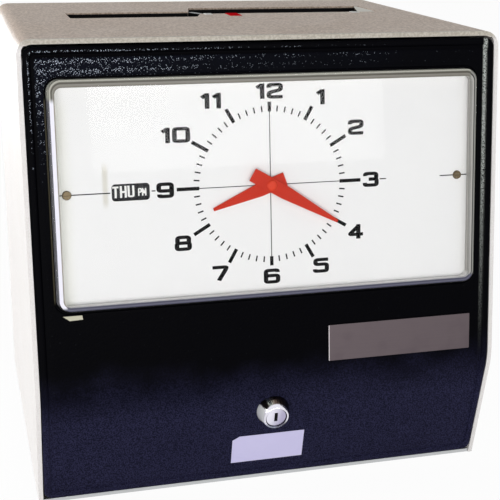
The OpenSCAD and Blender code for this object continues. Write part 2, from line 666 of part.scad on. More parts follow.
// Type wheels on a fixed shaft in front of the chute
type_y = yy(chute_y0) - type_r - 2.6;
type_shaft_r = 3;
cheek_t = 2;
cheek_half = 20;
cheek_x = [print_x - cheek_half - cheek_t / 2, print_x + cheek_half - cheek_t / 2];
cheek_h = 12;
ear_t = 1.2;
ear_w = 10;
module type_wheel_bracket() color(dark_steel) difference() {
    union() {
        for (x = cheek_x) box(x, x + cheek_t, type_y - 6, yy(chute_y0), print_z - cheek_h, print_z + cheek_h);
        for (x = [cheek_x[0] + cheek_t - ear_w, cheek_x[1]])
            box(x, x + ear_w, yy(chute_y0) - ear_t, yy(chute_y0), print_z - cheek_h, print_z + cheek_h);
    }
    bar_x(print_x - 30, print_x + 30, type_y, print_z, type_shaft_r);
    // The ribbon passes through both cheeks
    box(print_x - 30, print_x + 30, ribbon_y - 0.9, yy(chute_y0) - ear_t, ribbon_z0 - 1, ribbon_z0 + ribbon_w + 1);
}

module type_wheel_shaft() color(steel) bar_x(cheek_x[0] - 1.5, cheek_x[1] + 3.5, type_y, print_z, type_shaft_r);

// A type wheel has a raised block of type for each division, and a ratchet beside them
module type_wheel(x, n) translate([x, type_y, print_z]) rotate([0, 90, 0]) difference() {
    union() {
        cylinder(h = 7, r = type_r - 1.2, $fn = 96);
        linear_extrude(5) for (i = [0 : n - 1]) rotate(360 / n * i) translate([type_r - 2, -1]) square([2, 2]);
        translate([0, 0, 6.9]) linear_extrude(1.4) polygon([for (i = [0 : 2 * 20 - 1])
            let(r = i % 2 == 0 ? type_r - 5 : type_r - 3.4, a = 9 * i + (i % 2 == 0 ? 6 : 0)) [r * cos(a), r * sin(a)]]);
    }
    translate([0, 0, -1]) cylinder(h = 12, r = type_shaft_r + run_gap, $fn = 48);
    for (a = [0 : 60 : 300]) rotate(a) translate([type_r * 0.5, 0, -1]) cylinder(h = 12, r = 2, $fn = 32);
}

type_x = cheek_x[0] + cheek_t + 0.6;
type_step = 11;
module minute_type_wheel() color(brass) type_wheel(type_x, 30);

module hour_type_wheel() color(brass) type_wheel(type_x + type_step, 24);

module date_type_wheel() color(brass) type_wheel(type_x + 2 * type_step, 31);

// Ribbon, its plate with the guide posts, and its spools
spool_y = yy(chute_y0) - 28;
spool_half = 50;
spool_x = [print_x - spool_half, print_x + spool_half];
spool_seat_r = 16;
spool_post_r = 2;
spool_h = 14;
ribbon_z0 = print_z - 6.5;
ribbon_w = 13;
ribbon_y = yy(chute_y0) - 2.2;
post_half = 27;
post_x = [print_x - post_half, print_x + post_half];
post_r = 1.8;
ribbon_pack_r = 11;
module ribbon_plate() color(dark_steel) {
    difference() {
        box(spool_x[0] - spool_seat_r, spool_x[1] + spool_seat_r, spool_y - spool_seat_r, yy(chute_y0),
            ribbon_z0 - 4, ribbon_z0 - 2);
        box(cheek_x[0] - 1, cheek_x[1] + 3, type_y - type_r - 3, yy(chute_y0) + 1, ribbon_z0 - 5, ribbon_z0);
        box(cheek_x[0] - 9, cheek_x[1] + 11, ribbon_y + 0.2, yy(chute_y0) + 1, ribbon_z0 - 5, ribbon_z0);
    }
    for (x = spool_x) translate([x, spool_y, ribbon_z0 - 3]) cylinder(h = spool_h + 5, r = spool_post_r, $fn = 48);
    for (x = post_x) translate([x, ribbon_y - post_r - 0.25, ribbon_z0 - 3]) cylinder(h = ribbon_w + 4, r = post_r, $fn = 48);
}

module spool(x) translate([x, spool_y, ribbon_z0 - 1.5]) difference() {
    union() {
        cylinder(h = 1, r = spool_r, $fn = 96);
        translate([0, 0, spool_h + 1]) cylinder(h = 1, r = spool_r, $fn = 96);
        cylinder(h = spool_h + 2, r = ribbon_pack_r, $fn = 96);
    }
    translate([0, 0, -1]) cylinder(h = spool_h + 5, r = spool_post_r + run_gap, $fn = 48);
    for (a = [0 : 120 : 240], z = [-1, spool_h]) rotate(a) translate([14.5, 0, z]) cylinder(h = 3, r = 2, $fn = 32);
}

module supply_spool() color("#3a3c40") spool(spool_x[0]);

module takeup_spool() color("#3a3c40") spool(spool_x[1]);

ribbon_t = 0.3;
ribbon_turn = ribbon_pack_r + 0.6;
// The ribbon turns a little outside each post, so that it clears the post's round side
ribbon_bend = [post_x[0] - 0.8, post_x[1] + 0.8];
module ribbon() color("#2a1c40") translate([0, 0, ribbon_z0]) linear_extrude(ribbon_w)
    polygon([[spool_x[0], spool_y + ribbon_turn], [ribbon_bend[0], ribbon_y], [ribbon_bend[1], ribbon_y],
             [spool_x[1], spool_y + ribbon_turn], [spool_x[1], spool_y + ribbon_turn + ribbon_t],
             [ribbon_bend[1], ribbon_y + ribbon_t], [ribbon_bend[0], ribbon_y + ribbon_t],
             [spool_x[0], spool_y + ribbon_turn + ribbon_t]]);

// Hammer behind the chute
hammer_z = print_z - 42;
hammer_y = yy(chute_y1) + 5.4;
hammer_shaft_r = 2;
hammer_arm = 24;
hammer_hub_x = 5.4;
hammer_cheek_x = 10;
module hammer_bracket() color(dark_steel) difference() {
    union() {
        for (x = [print_x - hammer_cheek_x - 2, print_x + hammer_cheek_x])
            box(x, x + 2, yy(chute_y1), hammer_y + 6, hammer_z - 20, hammer_z + 6);
        box(print_x - hammer_cheek_x - 2, print_x + hammer_cheek_x + 2, yy(chute_y1), yy(chute_y1) + 1.5,
            hammer_z - 20, hammer_z - 4);
    }
    bar_x(print_x - 20, print_x + 20, hammer_y, hammer_z, hammer_shaft_r);
}

module hammer_shaft() color(steel) bar_x(print_x - 13.5, print_x + 13.5, hammer_y, hammer_z, hammer_shaft_r);

module hammer() color(dark_steel) difference() {
    union() {
        bar_x(print_x - 7, print_x + hammer_hub_x, hammer_y, hammer_z, 3.2);
        box(print_x - 5, print_x + 5, hammer_y - 2.6, hammer_y + 2.6, hammer_z, print_z - 9);
        box(print_x - 17, print_x + 17, hammer_y - 5.1, hammer_y + 2.6, print_z - 10, print_z + 10);
        box(print_x - 1.5, print_x + 1.5, hammer_y - 2.6, hammer_y + 2.6, hammer_z - hammer_arm - 5, hammer_z);
    }
    bar_x(print_x - 20, print_x + 20, hammer_y, hammer_z, hammer_shaft_r + run_gap);
    box(print_x - 3, print_x + 3, hammer_y - 1.9, hammer_y + 1.9, hammer_z - hammer_arm - 2.2, hammer_z - hammer_arm + 2.2);
}

// Torsion spring that brings the hammer back, wound round its shaft beside the hub.
// One leg stands beside the hammer's arm and the other lies on the bracket's web.
spring_wire = 0.7;
spring_pitch = 1.1;
spring_turns = 3;
spring_leg = 9;
spring_r = hammer_y - yy(chute_y1) - 1.5 - spring_wire / 2;
spring_x = print_x + hammer_hub_x + 0.25 + spring_wire / 2;
spring_sides = 6;
spring_steps = 16;
spring_rings = spring_turns * spring_steps + 3;

// One ring of points round the wire, at turn angle a, x along the shaft and lifted by up
function spring_ring(a, x, up) = [for (k = [0 : spring_sides - 1])
    let(b = 360 * k / spring_sides, r = spring_r + spring_wire / 2 * cos(b))
    [spring_x + x + spring_wire / 2 * sin(b), hammer_y + r * cos(a), hammer_z + r * sin(a) + up]];

spring_points = concat(spring_ring(180, 0, spring_leg),
    [for (i = [0 : spring_turns * spring_steps])
        for (p = spring_ring(180 + 360 * i / spring_steps, spring_pitch * i / spring_steps, 0)) p],
    spring_ring(180, spring_pitch * spring_turns, -spring_leg));

function spring_at(i, k) = i * spring_sides + k % spring_sides;

module hammer_spring() color(steel) polyhedron(spring_points, concat(
    [[for (k = [spring_sides - 1 : -1 : 0]) spring_at(0, k)]],
    [for (i = [0 : spring_rings - 2], k = [0 : spring_sides - 1])
        [spring_at(i, k), spring_at(i, k + 1), spring_at(i + 1, k + 1)]],
    [for (i = [0 : spring_rings - 2], k = [0 : spring_sides - 1])
        [spring_at(i, k), spring_at(i + 1, k + 1), spring_at(i + 1, k)]],
    [[for (k = [0 : spring_sides - 1]) spring_at(spring_rings - 1, k)]]));

sol_y = hammer_y + 22;
sol_z = hammer_z - hammer_arm;
sol_l = 30;
sol_r = 4;
yoke_x = 14;
yoke_t = 2;
yoke_base = 1.5;
coil_r = yoke_x - 2;
module solenoid() color("#7a4a2c") difference() {
    union() {
        bar_y(print_x, sol_y + yoke_t - 0.1, sol_y + sol_l - yoke_t + 0.1, sol_z, coil_r);
        for (y = [sol_y, sol_y + sol_l - yoke_t])
            box(print_x - yoke_x, print_x + yoke_x, y, y + yoke_t, sol_z - yoke_x, sol_z + yoke_x);
        box(print_x - yoke_x, print_x + yoke_x, sol_y, sol_y + sol_l, sol_z - yoke_x - yoke_base, sol_z - yoke_x + 0.1);
    }
    bar_y(print_x, sol_y - 1, sol_y + sol_l - 6, sol_z, sol_r + run_gap);
}

stand_foot = 10;
stand_top = sol_z - yoke_x - yoke_base;
module solenoid_bracket() color(dark_steel) {
    box(print_x - yoke_x, print_x + yoke_x, sol_y - yoke_t, sol_y + sol_l, stand_top - yoke_t, stand_top);
    for (x = [print_x - yoke_x, print_x + yoke_x - yoke_t])
        box(x, x + yoke_t, sol_y - yoke_t, sol_y + sol_l, base_top, stand_top - 0.5);
    for (x = [print_x - yoke_x - stand_foot, print_x + yoke_x - yoke_t])
        box(x, x + stand_foot + yoke_t, sol_y - yoke_t, sol_y + sol_l, base_top, base_top + yoke_t);
}

// The plunger's fork holds a pin that runs in the slot of the hammer's tail
pin_r = 1.1;
module solenoid_plunger() color(steel) {
    bar_y(print_x, hammer_y + 5, sol_y + 16, sol_z, sol_r);
    for (x = [-3.6, 2.1]) box(print_x + x, print_x + x + 1.5, hammer_y - 2, hammer_y + 6, sol_z - 2, sol_z + 2);
    bar_x(print_x - 3.6, print_x + 3.6, hammer_y, sol_z, pin_r);
}

// Card switch, with its lever reaching into the chute
switch_y0 = yy(chute_y0) - 21;
module switch_bracket() color(dark_steel) {
    for (x = [lever_x - 5.5, lever_x + 4]) box(x, x + 1.5, yy(chute_y0) - 12, yy(chute_y0), lever_z - 5, lever_z + 5);
    bar_x(lever_x - 5, lever_x + 5, yy(chute_y0) - 8, lever_z, 1.5);
    box(lever_x - 5.5, lever_x + 5.5, switch_y0, yy(chute_y0), lever_z - 26, lever_z - 24.5);
}

module microswitch() color(black) {
    box(lever_x - 5, lever_x + 5, switch_y0 + 1, yy(chute_y0) - 1, lever_z - 24.5, lever_z - 9);
    box(lever_x - 1.5, lever_x + 1.5, yy(chute_y0) - 5, yy(chute_y0) - 3, lever_z - 9.1, lever_z - 3.7);
}

// Lever that a card presses down
module card_lever() color("#c8ccd0") difference() {
    union() {
        bar_x(lever_x - 3, lever_x + 3, yy(chute_y0) - 8, lever_z, 3.4);
        box(lever_x - 1.5, lever_x + 1.5, yy(chute_y0) - 8, yy(card_y + card_gap / 2) - 1, lever_z - 1.5, lever_z + 1.5);
    }
    bar_x(lever_x - 5, lever_x + 5, yy(chute_y0) - 8, lever_z, 1.5 + run_gap);
}

module hinge_pins() color(steel) for (x = [-1, 1])
    pair_bar(x, lug_x0 - 0.5, pin_end_x, hinge_pin_r);

// Everything below hangs on the hinged front
module ring_region(w0, w1) along_y(yy(-20), yy(60)) translate([0, (panel_z0 + panel_z1) / 2]) difference() {
    round_rect(panel_w - 2 * w0, panel_z1 - panel_z0 - 2 * w0, panel_r - w0 / 2);
    if (w1 > 0) round_rect(panel_w - 2 * w1, panel_z1 - panel_z0 - 2 * w1, panel_r - bead_w / 2);
}

module skin(inset0, inset1) along_x(0, panel_w + 2) difference() {
    profile(inset0, panel_z0 - 1, panel_z1 + 1);
    profile(inset1, panel_z0 - 3, panel_z1 + 3);
    translate([yy(60), panel_z0 - 5]) square([case_d, case_h + 20]);
}

notch = [11, 4];
notch_x = 14 - window_w / 2;
window_step = 1.2;
module front_panel() color(black) difference() {
    union() {
        intersection() {
            skin(field_inset, panel_t);
            ring_region(0, 0);
        }
        intersection() {
            skin(0, panel_t);
            ring_region(0, bead_w);
        }
        // Stiffening ribs inside the two sides
        for (x = [-1, 1]) along_x(x * (panel_w / 2 - 3.4), 2.2) difference() {
            profile(panel_t - 0.4, panel_z0 + 6, hinge_z - 12);
            profile(panel_t + 7, panel_z0 + 5, hinge_z - 11);
            translate([yy(60), panel_z0]) square([case_d, case_h]);
        }
        // Hinge lugs
        for (x = [-1, 1]) {
            pair_bar(x, lug_x0, lug_x1, lug_r);
            translate([x * (lug_x0 + lug_x1) / 2, hinge_y, hinge_z]) rotate([90 - lean, 0, 0])
                translate([-(lug_x1 - lug_x0) / 2, -lug_r, 0]) cube([lug_x1 - lug_x0, 2 * lug_r, hinge_depth - panel_t + 1]);
        }
    }
    // Window, its shallow step and the notch below its left end
    upper(0, window_s, -10) linear_extrude(20) round_rect(window_w, window_h, window_r);
    upper(0, window_s, -field_inset - 0.5) linear_extrude(5) round_rect(window_w + 2 * window_step, window_h + 2 * window_step, window_r + window_step);
    upper(notch_x, window_sill - 1.5, -10) linear_extrude(20) square(notch, center = true);
    // Bevel of the top edge, which turns under the case
    translate([-panel_w / 2 - 1, up_y(panel_z1, 0), panel_z1]) rotate([-45 - lean, 0, 0])
        translate([0, -5, -0.85]) cube([panel_w + 2, 10, 5]);
    // Relief round the case's hinge bosses, and the pin holes
    for (x = [-1, 1]) {
        pair_bar(x, lug_x1 + seat / 2, panel_w / 2 + 1, hinge_boss_r + 0.4);
        pair_bar(x, lug_x0 - 1, lug_x1 + 1, hinge_pin_r + run_gap);
    }
    lower(0, lock_s, -10) cylinder(h = 20, r = barrel_r + 0.1, $fn = 64);
}

lens_gap = 0.3;
lens_rim = 2.2;
flange_w = 3;
flange_t = 1.4;
module dial_lens() color("#e8f0f0", 0.35) upper(0, window_s, 0) difference() {
    union() {
        translate([0, 0, -panel_t]) linear_extrude(panel_t + lens_proud)
            round_rect(window_w - 2 * lens_gap, window_h - 2 * lens_gap, window_r - lens_gap);
        translate([0, 0, -panel_t - flange_t]) linear_extrude(flange_t)
            round_rect(window_w + 2 * flange_w, window_h + 2 * flange_w, window_r + flange_w);
    }
    translate([0, 0, -10]) linear_extrude(10 + lens_proud - lens_t)
        round_rect(window_w - 2 * lens_gap - 2 * lens_rim, window_h - 2 * lens_gap - 2 * lens_rim, window_r - lens_rim);
}

// Spring clips that hold the lens flange against the front
clip_s = window_h / 2 + flange_w;
clip_x = [-60, 60];
clip_w = 16;
clip_h = 5.8;
module lens_clips() color(steel) for (x = clip_x, v = [-1, 1])
    upper(x, window_s + v * (clip_s + 2.4), -panel_t) {
        translate([-clip_w / 2, v > 0 ? 3.6 - clip_h : -3.6, -flange_t]) cube([clip_w, clip_h, flange_t]);
        translate([-clip_w / 2, v > 0 ? 2.6 - clip_h : -3.6, -flange_t - 1]) cube([clip_w, clip_h + 1, 1]);
    }

nameplate_w = 84.6;
nameplate_h = 20.4;
nameplate_side = 11.9;
nameplate_s = 17.4;
module nameplate() color("#9b8b80")
    upper(panel_w / 2 - nameplate_side - nameplate_w / 2, nameplate_s, -field_inset)
        linear_extrude(field_inset) round_rect(nameplate_w, nameplate_h, 0.5);

label_w = 42;
label_h = 18.4;
label_s = 47.6;
label_clip = [4, 2.4];
module blank_label() color("#f1f0ec") lower(-1, label_s, -field_inset) linear_extrude(0.25)
    polygon([[-label_w / 2, -label_h / 2], [label_w / 2, -label_h / 2], [label_w / 2, label_h / 2],
             [label_clip[0] - label_w / 2, label_h / 2], [-label_w / 2, label_h / 2 - label_clip[1]]]);

barrel_r = plug_r + 1.4;
module lock_barrel() color("#c9ccd0") lower(0, lock_s, 0) difference() {
    union() {
        translate([0, 0, -field_inset]) cylinder(h = 1.2, r = collar_r, $fn = 96);
        translate([0, 0, 1.2 - field_inset]) cylinder(h = lock_h - 2, r1 = collar_r, r2 = collar_face_r, $fn = 96);
        translate([0, 0, lock_h - 0.8 - field_inset]) cylinder(h = 0.8, r1 = collar_face_r,
            r2 = collar_face_r - collar_bevel, $fn = 96);
        translate([0, 0, -20]) cylinder(h = 20, r = barrel_r, $fn = 64);
    }
    translate([0, 0, -21]) cylinder(h = 40, r = plug_r + run_gap, $fn = 96);
}

module lock_nut() color(steel) lower(0, lock_s, -panel_t - 4.3) difference() {
    cylinder(h = 4, r = barrel_r + 4.4, $fn = 6);
    translate([0, 0, -1]) cylinder(h = 6, r = barrel_r, $fn = 64);
}

module lock_plug() color("#b7babd") lower(0, lock_s, 0) difference() {
    union() {
        translate([0, 0, -21.5]) cylinder(h = 21.5 + lock_h - field_inset - 0.9, r = plug_r, $fn = 96);
        translate([-2.6, -2.6, -24]) cube([5.2, 5.2, 4]);
    }
    translate([-0.95, -2.9, -9]) cube([1.9, 5.8, 30]);
    translate([0, 0, -25]) cylinder(h = 4, r = 1.25, $fn = 32);
}

cam_l = 30;
module lock_cam() color(dark_steel) lower(0, lock_s, 0) {
    translate([0, 0, -23.5]) linear_extrude(2) difference() {
        union() {
            circle(7, $fn = 64);
            translate([0, -5]) square([cam_l - 5, 10]);
            translate([cam_l - 5, 0]) circle(5, $fn = 48);
        }
        square([5.2, 5.2], center = true);
    }
    translate([0, 0, -26.2]) cylinder(h = 2.2, r = 3.4, $fn = 48);
    translate([0, 0, -24.1]) cylinder(h = 3, r = 1.2, $fn = 32);
}

case_shell();
base_plate();
back_plate();
rubber_feet();
case_screws();
cord_bushing();
red_index_mark();
white_index_marks();
card_throat();
chute_front_plate();
chute_rear_plate();
card_guide();
left_side_frame();
right_side_frame();
movement_plate();
dial_plate();
dial_screws();
movement_rear_plate();
movement_pillars();
motor();
calendar_bracket();
calendar_shaft();
type_wheel_bracket();
type_wheel_shaft();
ribbon_plate();
ribbon();
hammer_bracket();
hammer_shaft();
solenoid();
solenoid_bracket();
microswitch();
switch_bracket();
hammer_spring();
hinge_pins();
front_panel();
dial_lens();
lens_clips();
nameplate();
blank_label();
lock_barrel();
lock_nut();
lock_plug();
lock_cam();
minute_arbor();
minute_hand();
hand_cap();
hour_wheel();
hour_hand();
minute_wheel();
motor_pinion();
day_drum();
half_day_drum();
minute_type_wheel();
hour_type_wheel();
date_type_wheel();
supply_spool();
takeup_spool();
hammer();
solenoid_plunger();
card_lever();
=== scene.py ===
# %% [markdown]
# # The looks of a time clock
# A time clock stands on a table by the door. A card goes into the slot on top, the clock
# stamps it, and the dial behind the clear lens shows the hour. The solids and the joints
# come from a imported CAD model, which this script loads as a fixed frame. Each step then
# dresses one piece: it says what the piece is, how it could be made, and why this way.
# All lengths are in metres in Blender, and the helpers below take millimetres, because
# that is what the drawing uses.

import json
import math
from contextlib import contextmanager

import bmesh
import bpy
import numpy as np
from mathutils import Matrix, Vector


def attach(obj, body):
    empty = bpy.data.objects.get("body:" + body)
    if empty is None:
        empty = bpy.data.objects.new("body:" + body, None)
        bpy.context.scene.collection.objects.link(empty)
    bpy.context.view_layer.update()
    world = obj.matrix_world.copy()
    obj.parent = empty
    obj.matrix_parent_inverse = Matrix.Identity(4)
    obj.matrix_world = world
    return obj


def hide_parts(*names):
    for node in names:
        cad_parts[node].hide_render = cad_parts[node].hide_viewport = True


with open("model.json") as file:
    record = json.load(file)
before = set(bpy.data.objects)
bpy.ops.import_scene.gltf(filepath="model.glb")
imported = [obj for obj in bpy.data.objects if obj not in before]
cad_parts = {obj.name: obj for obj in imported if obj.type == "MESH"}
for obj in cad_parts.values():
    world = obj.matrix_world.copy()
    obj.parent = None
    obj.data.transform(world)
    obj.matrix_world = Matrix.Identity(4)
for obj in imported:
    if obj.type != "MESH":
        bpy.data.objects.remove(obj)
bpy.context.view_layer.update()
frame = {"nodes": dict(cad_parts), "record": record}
nodes = frame["nodes"]
body_of = {node: body for body, held in frame["record"]["behaviour"]["bodies"].items() for node in held}

# %% [markdown]
# ## The front as a surface
# The front of the clock leans back above a soft knee and tucks in below it. Everything on
# it, from the bead to the lock, is easiest to place by three numbers: across, along and
# out. Working these out once, for whole arrays, saves a rotation for every later piece.

# %% The main sizes, in millimetres
MM = 0.001
LEAN = math.radians(7.1)
TUCK = math.radians(12.2)
KNEE_Y = -108.0345
KNEE_Z = 74.4
KNEE_R = 40.0
ARC_Z = KNEE_Z + KNEE_R * (1 / math.cos(TUCK) - 1 / math.cos(LEAN)) / (math.tan(LEAN) + math.tan(TUCK))
ARC_Y = KNEE_Y + (ARC_Z - KNEE_Z) * math.tan(LEAN) + KNEE_R / math.cos(LEAN)
PANEL_W = 254.2
PANEL_Z0 = 9.0
PANEL_Z1 = 254.6
PANEL_R = 5.0
WINDOW_SIDE = 10.6
WINDOW_HEAD = 16.1
WINDOW_SILL = 46.5
WINDOW_W = PANEL_W - 2 * WINDOW_SIDE
WINDOW_H = (PANEL_Z1 - KNEE_Z) / math.cos(LEAN) - WINDOW_HEAD - WINDOW_SILL
WINDOW_R = 6.4
WINDOW_S = WINDOW_SILL + WINDOW_H / 2
DIAL_RISE = 0.6
DIAL_S = WINDOW_S + DIAL_RISE
DIAL_OUT = -5.0
DIAL_T = 1.2
LOCK_S = 21.6
print("knee arc about", round(ARC_Y, 2), round(ARC_Z, 2))


# %% Places on the front
def stack(x, y, z):
    """Joins three arrays of millimetres into points in metres, one row each."""
    return np.stack(np.broadcast_arrays(x, y, z), axis=-1).astype(float) * MM


def upper(x, s, out):
    """A point on the leaning part: s runs up the slope and out leaves it at a right angle.
    y = knee + s sin(lean) - out cos(lean), z = knee + s cos(lean) + out sin(lean)."""
    x, s, out = np.broadcast_arrays(x, s, out)
    return stack(
        x,
        KNEE_Y + s * math.sin(LEAN) - out * math.cos(LEAN),
        KNEE_Z + s * math.cos(LEAN) + out * math.sin(LEAN),
    )


def lower(x, s, out):
    """A point on the tucked part: s runs down from the knee and out leaves it at a right angle.
    y = knee + s sin(tuck) - out cos(tuck), z = knee - s cos(tuck) - out sin(tuck)."""
    x, s, out = np.broadcast_arrays(x, s, out)
    return stack(
        x,
        KNEE_Y + s * math.sin(TUCK) - out * math.cos(TUCK),
        KNEE_Z - s * math.cos(TUCK) - out * math.sin(TUCK),
    )


def front_at(x, z, out):
    """A point over the whole front: the surface at height z, moved out along its normal.
    Between the two flats the angle of the normal is asin((z - arc centre) / knee radius)."""
    x, z, out = np.broadcast_arrays(x, z, out)
    angle = np.arcsin(np.clip((z - ARC_Z) / KNEE_R, -math.sin(TUCK), math.sin(LEAN)))
    on_arc = ARC_Y - KNEE_R * np.cos(angle)
    above = KNEE_Y + (z - KNEE_Z) * math.tan(LEAN)
    below = KNEE_Y + (KNEE_Z - z) * math.tan(TUCK)
    y = np.where(angle >= LEAN - 1e-9, above, np.where(angle <= -TUCK + 1e-9, below, on_arc))
    return stack(x, y - out * np.cos(angle), z + out * np.sin(angle))


print("a point on the knee:", np.round(front_at(0, KNEE_Z, 0) / MM, 2))

# %% [markdown]
# ## Grids into meshes
# A numpy surface is a grid of points, rows by columns. Neighbouring points make the quads,
# and a grid whose rows or columns close on themselves has no seam. Writing the arrays with
# foreach_set is fast, and every piece ends at the origin with its place in its mesh.


# %% Grid faces
def quads(rows, columns, close_rows=False, close_columns=False):
    """Corner numbers of every quad of a grid: (r, c), (r, c+1), (r+1, c+1), (r+1, c)."""
    r = np.arange(rows if close_rows else rows - 1)
    c = np.arange(columns if close_columns else columns - 1)
    r, c = np.meshgrid(r, c, indexing="ij")
    down, right = (r + 1) % rows, (c + 1) % columns
    corners = (r * columns + c, r * columns + right, down * columns + right, down * columns + c)
    return np.stack(corners, -1).reshape(-1, 4)


def mesh_from(name, points, faces):
    """A mesh from an array of points and an array of equal-sided faces."""
    mesh = bpy.data.meshes.new(name)
    sides = faces.shape[1]
    mesh.vertices.add(len(points))
    mesh.vertices.foreach_set("co", points.astype(np.float32).ravel())
    mesh.loops.add(faces.size)
    mesh.loops.foreach_set("vertex_index", faces.astype(np.int32).ravel())
    mesh.polygons.add(len(faces))
    mesh.polygons.foreach_set("loop_start", np.arange(0, faces.size, sides, dtype=np.int32))
    mesh.update(calc_edges=True)
    mesh.validate()
    return mesh


print("grid of 3 by 4 has", len(quads(3, 4)), "quads")


# %% Merging, turning outwards and shading
WELD = 1e-7


@contextmanager
def editing(mesh):
    """Lends a mesh to bmesh for a few steps, and writes it back after them."""
    work = bmesh.new()
    work.from_mesh(mesh)
    yield work
    work.to_mesh(mesh)
    work.free()


def face_outwards(mesh):
    """Turns all faces of a closed mesh outwards, after points closer than WELD metres, as at
    poles, are merged."""
    with editing(mesh) as work:
        bmesh.ops.remove_doubles(work, verts=work.verts, dist=WELD)
        bmesh.ops.recalc_face_normals(work, faces=work.faces)


def smooth(mesh, angle):
    """Smooth shading, with edges sharper than the angle in degrees kept sharp."""
    mesh.polygons.foreach_set("use_smooth", np.ones(len(mesh.polygons), bool))
    mesh.set_sharp_from_angle(angle=math.radians(angle))


print("equal points merge within", WELD / MM, "mm")


# %% The maker of pieces
def piece(name, mesh, material, body, stands_for=(), angle=35):
    """Puts a finished mesh on its CAD body, with its finish and the nodes it stands for."""
    smooth(mesh, angle)
    made = bpy.data.objects.new(name, mesh)
    bpy.context.scene.collection.objects.link(made)
    mesh.materials.clear()
    mesh.materials.append(material)
    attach(made, body)
    if stands_for:
        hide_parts(*stands_for)
    return made


print("bodies to ride on:", sorted(set(body_of.values())))

# %% [markdown]
# ## Dressing a CAD solid
# A drawn part has knife edges, and no real edge is that sharp. The CAD mesh itself is never
# changed, so a copy is merged, its flat faces are joined, and a Bevel modifier rounds what
# is sharper than 30 degrees. The small round edges then catch a line of light.


# %% A copy of a node with softened edges
MERGE = 2e-6
SLIVER = 1e-6
FLAT = math.radians(0.6)


def copy_of(node):
    """The node's mesh with points closer than MERGE made one, edges shorter than SLIVER taken
    out (both in metres), and faces that agree to within FLAT joined."""
    mesh = nodes[node].data.copy()
    mesh.name = node
    with editing(mesh) as work:
        bmesh.ops.remove_doubles(work, verts=work.verts, dist=MERGE)
        bmesh.ops.dissolve_degenerate(work, edges=work.edges, dist=SLIVER)
        bmesh.ops.dissolve_limit(work, angle_limit=FLAT, verts=work.verts, edges=work.edges)
    if mesh.has_custom_normals:
        holder = bpy.data.objects.new("holder", mesh)
        bpy.context.scene.collection.objects.link(holder)
        with bpy.context.temp_override(object=holder, active_object=holder, selected_objects=[holder]):
            bpy.ops.mesh.customdata_custom_splitnormals_clear()
        bpy.data.objects.remove(holder)
    return mesh


def round_edges(made, width, steps=2, angle=30):
    """Adds the live Bevel that rounds edges sharper than the angle, width in millimetres."""
    bevel = made.modifiers.new("edge", "BEVEL")
    bevel.width = width * MM
    bevel.segments = steps
    bevel.limit_method = "ANGLE"
    bevel.angle_limit = math.radians(angle)
    bevel.harden_normals = True
    return made


def dress(node, material, width, steps=2):
    """A CAD node copied, finished and given round edges of the width in millimetres."""
    name = node + ".dressed"
    made = piece(name, copy_of(node), material, body_of[node], (node,))
    return round_edges(made, width, steps) if width else made


# %% [markdown]
# ## Shader sums written as Python
# A finish is a small sum of patterns: grain, cloudiness, wear. Node by node that is hard to
# read, so one class wraps a socket and lets it stand in ordinary arithmetic. Any other node
# comes from one method, which takes the node's type, its settings and its inputs.


# %% A socket that can be added and multiplied
class Wire:
    """One output socket of a material. Each sign adds a Math node to its board."""

    def __init__(self, board, socket):
        self.board = board
        self.socket = socket

    def sum(self, operation, first, second):
        return self.board.node("ShaderNodeMath", {"operation": operation}, {0: first, 1: second})

    def __add__(self, other):
        return self.sum("ADD", self, other)

    __radd__ = __add__

    def __sub__(self, other):
        return self.sum("SUBTRACT", self, other)

    def __rsub__(self, other):
        return self.sum("SUBTRACT", other, self)

    def __mul__(self, other):
        return self.sum("MULTIPLY", self, other)

    __rmul__ = __mul__

    def __truediv__(self, other):
        return self.sum("DIVIDE", self, other)

    def __rtruediv__(self, other):
        return self.sum("DIVIDE", other, self)

    def __pow__(self, other):
        return self.sum("POWER", self, other)

    def __rpow__(self, other):
        return self.sum("POWER", other, self)

    def __abs__(self):
        return self.sum("ABSOLUTE", self, 0.0)

    def __gt__(self, other):
        return self.sum("GREATER_THAN", self, other)

    def __lt__(self, other):
        return self.sum("LESS_THAN", self, other)


print("signs:", "+ - * / ** > < and abs")


# %% The board that holds one finish
class Board:
    """The nodes of one material, or of the sky where the kind is worlds."""

    def __init__(self, name, kind=None):
        self.material = (bpy.data.materials if kind is None else kind).new(name)
        self.material.use_nodes = True
        self.tree = self.material.node_tree
        self.tree.nodes.clear()

    def feed(self, socket, value):
        if isinstance(value, Wire):
            self.tree.links.new(value.socket, socket)
        else:
            socket.default_value = value

    def node(self, kind, settings=None, inputs=None, out=0):
        """Adds a node: settings first, then inputs by name or number; returns output out."""
        made = self.tree.nodes.new(kind)
        for key, value in (settings or {}).items():
            if key == "stops":
                set_stops(made.color_ramp, value)
            else:
                setattr(made, key, value)
        for key, value in (inputs or {}).items():
            self.feed(made.inputs[key], value)
        return Wire(self, made.outputs[out]) if made.outputs else None

    def place(self):
        """Object coordinates, which are metres in the clock's own frame."""
        return self.node("ShaderNodeTexCoord", out="Object")


def set_stops(ramp, stops):
    """Gives a colour ramp its stops, each a position and a colour."""
    while len(ramp.elements) < len(stops):
        ramp.elements.new(0.5)
    for element, (position, colour) in zip(ramp.elements, stops):
        element.position = position
        element.color = (*colour[:3], 1.0)


print("board ready")


# %% Colours and patterns
def screen(red, green, blue):
    """Screen values from 0 to 255 as the linear colour: ((v / 255 + 0.055) / 1.055) ** 2.4."""
    value = np.array([red, green, blue]) / 255
    linear = np.where(value <= 0.04045, value / 12.92, ((value + 0.055) / 1.055) ** 2.4)
    return (*[float(v) for v in linear], 1.0)


def stretched(board, along):
    """Object coordinates squeezed by the three numbers, so that a pattern runs in streaks."""
    return board.node("ShaderNodeMapping", None, {"Vector": board.place(), "Scale": along})


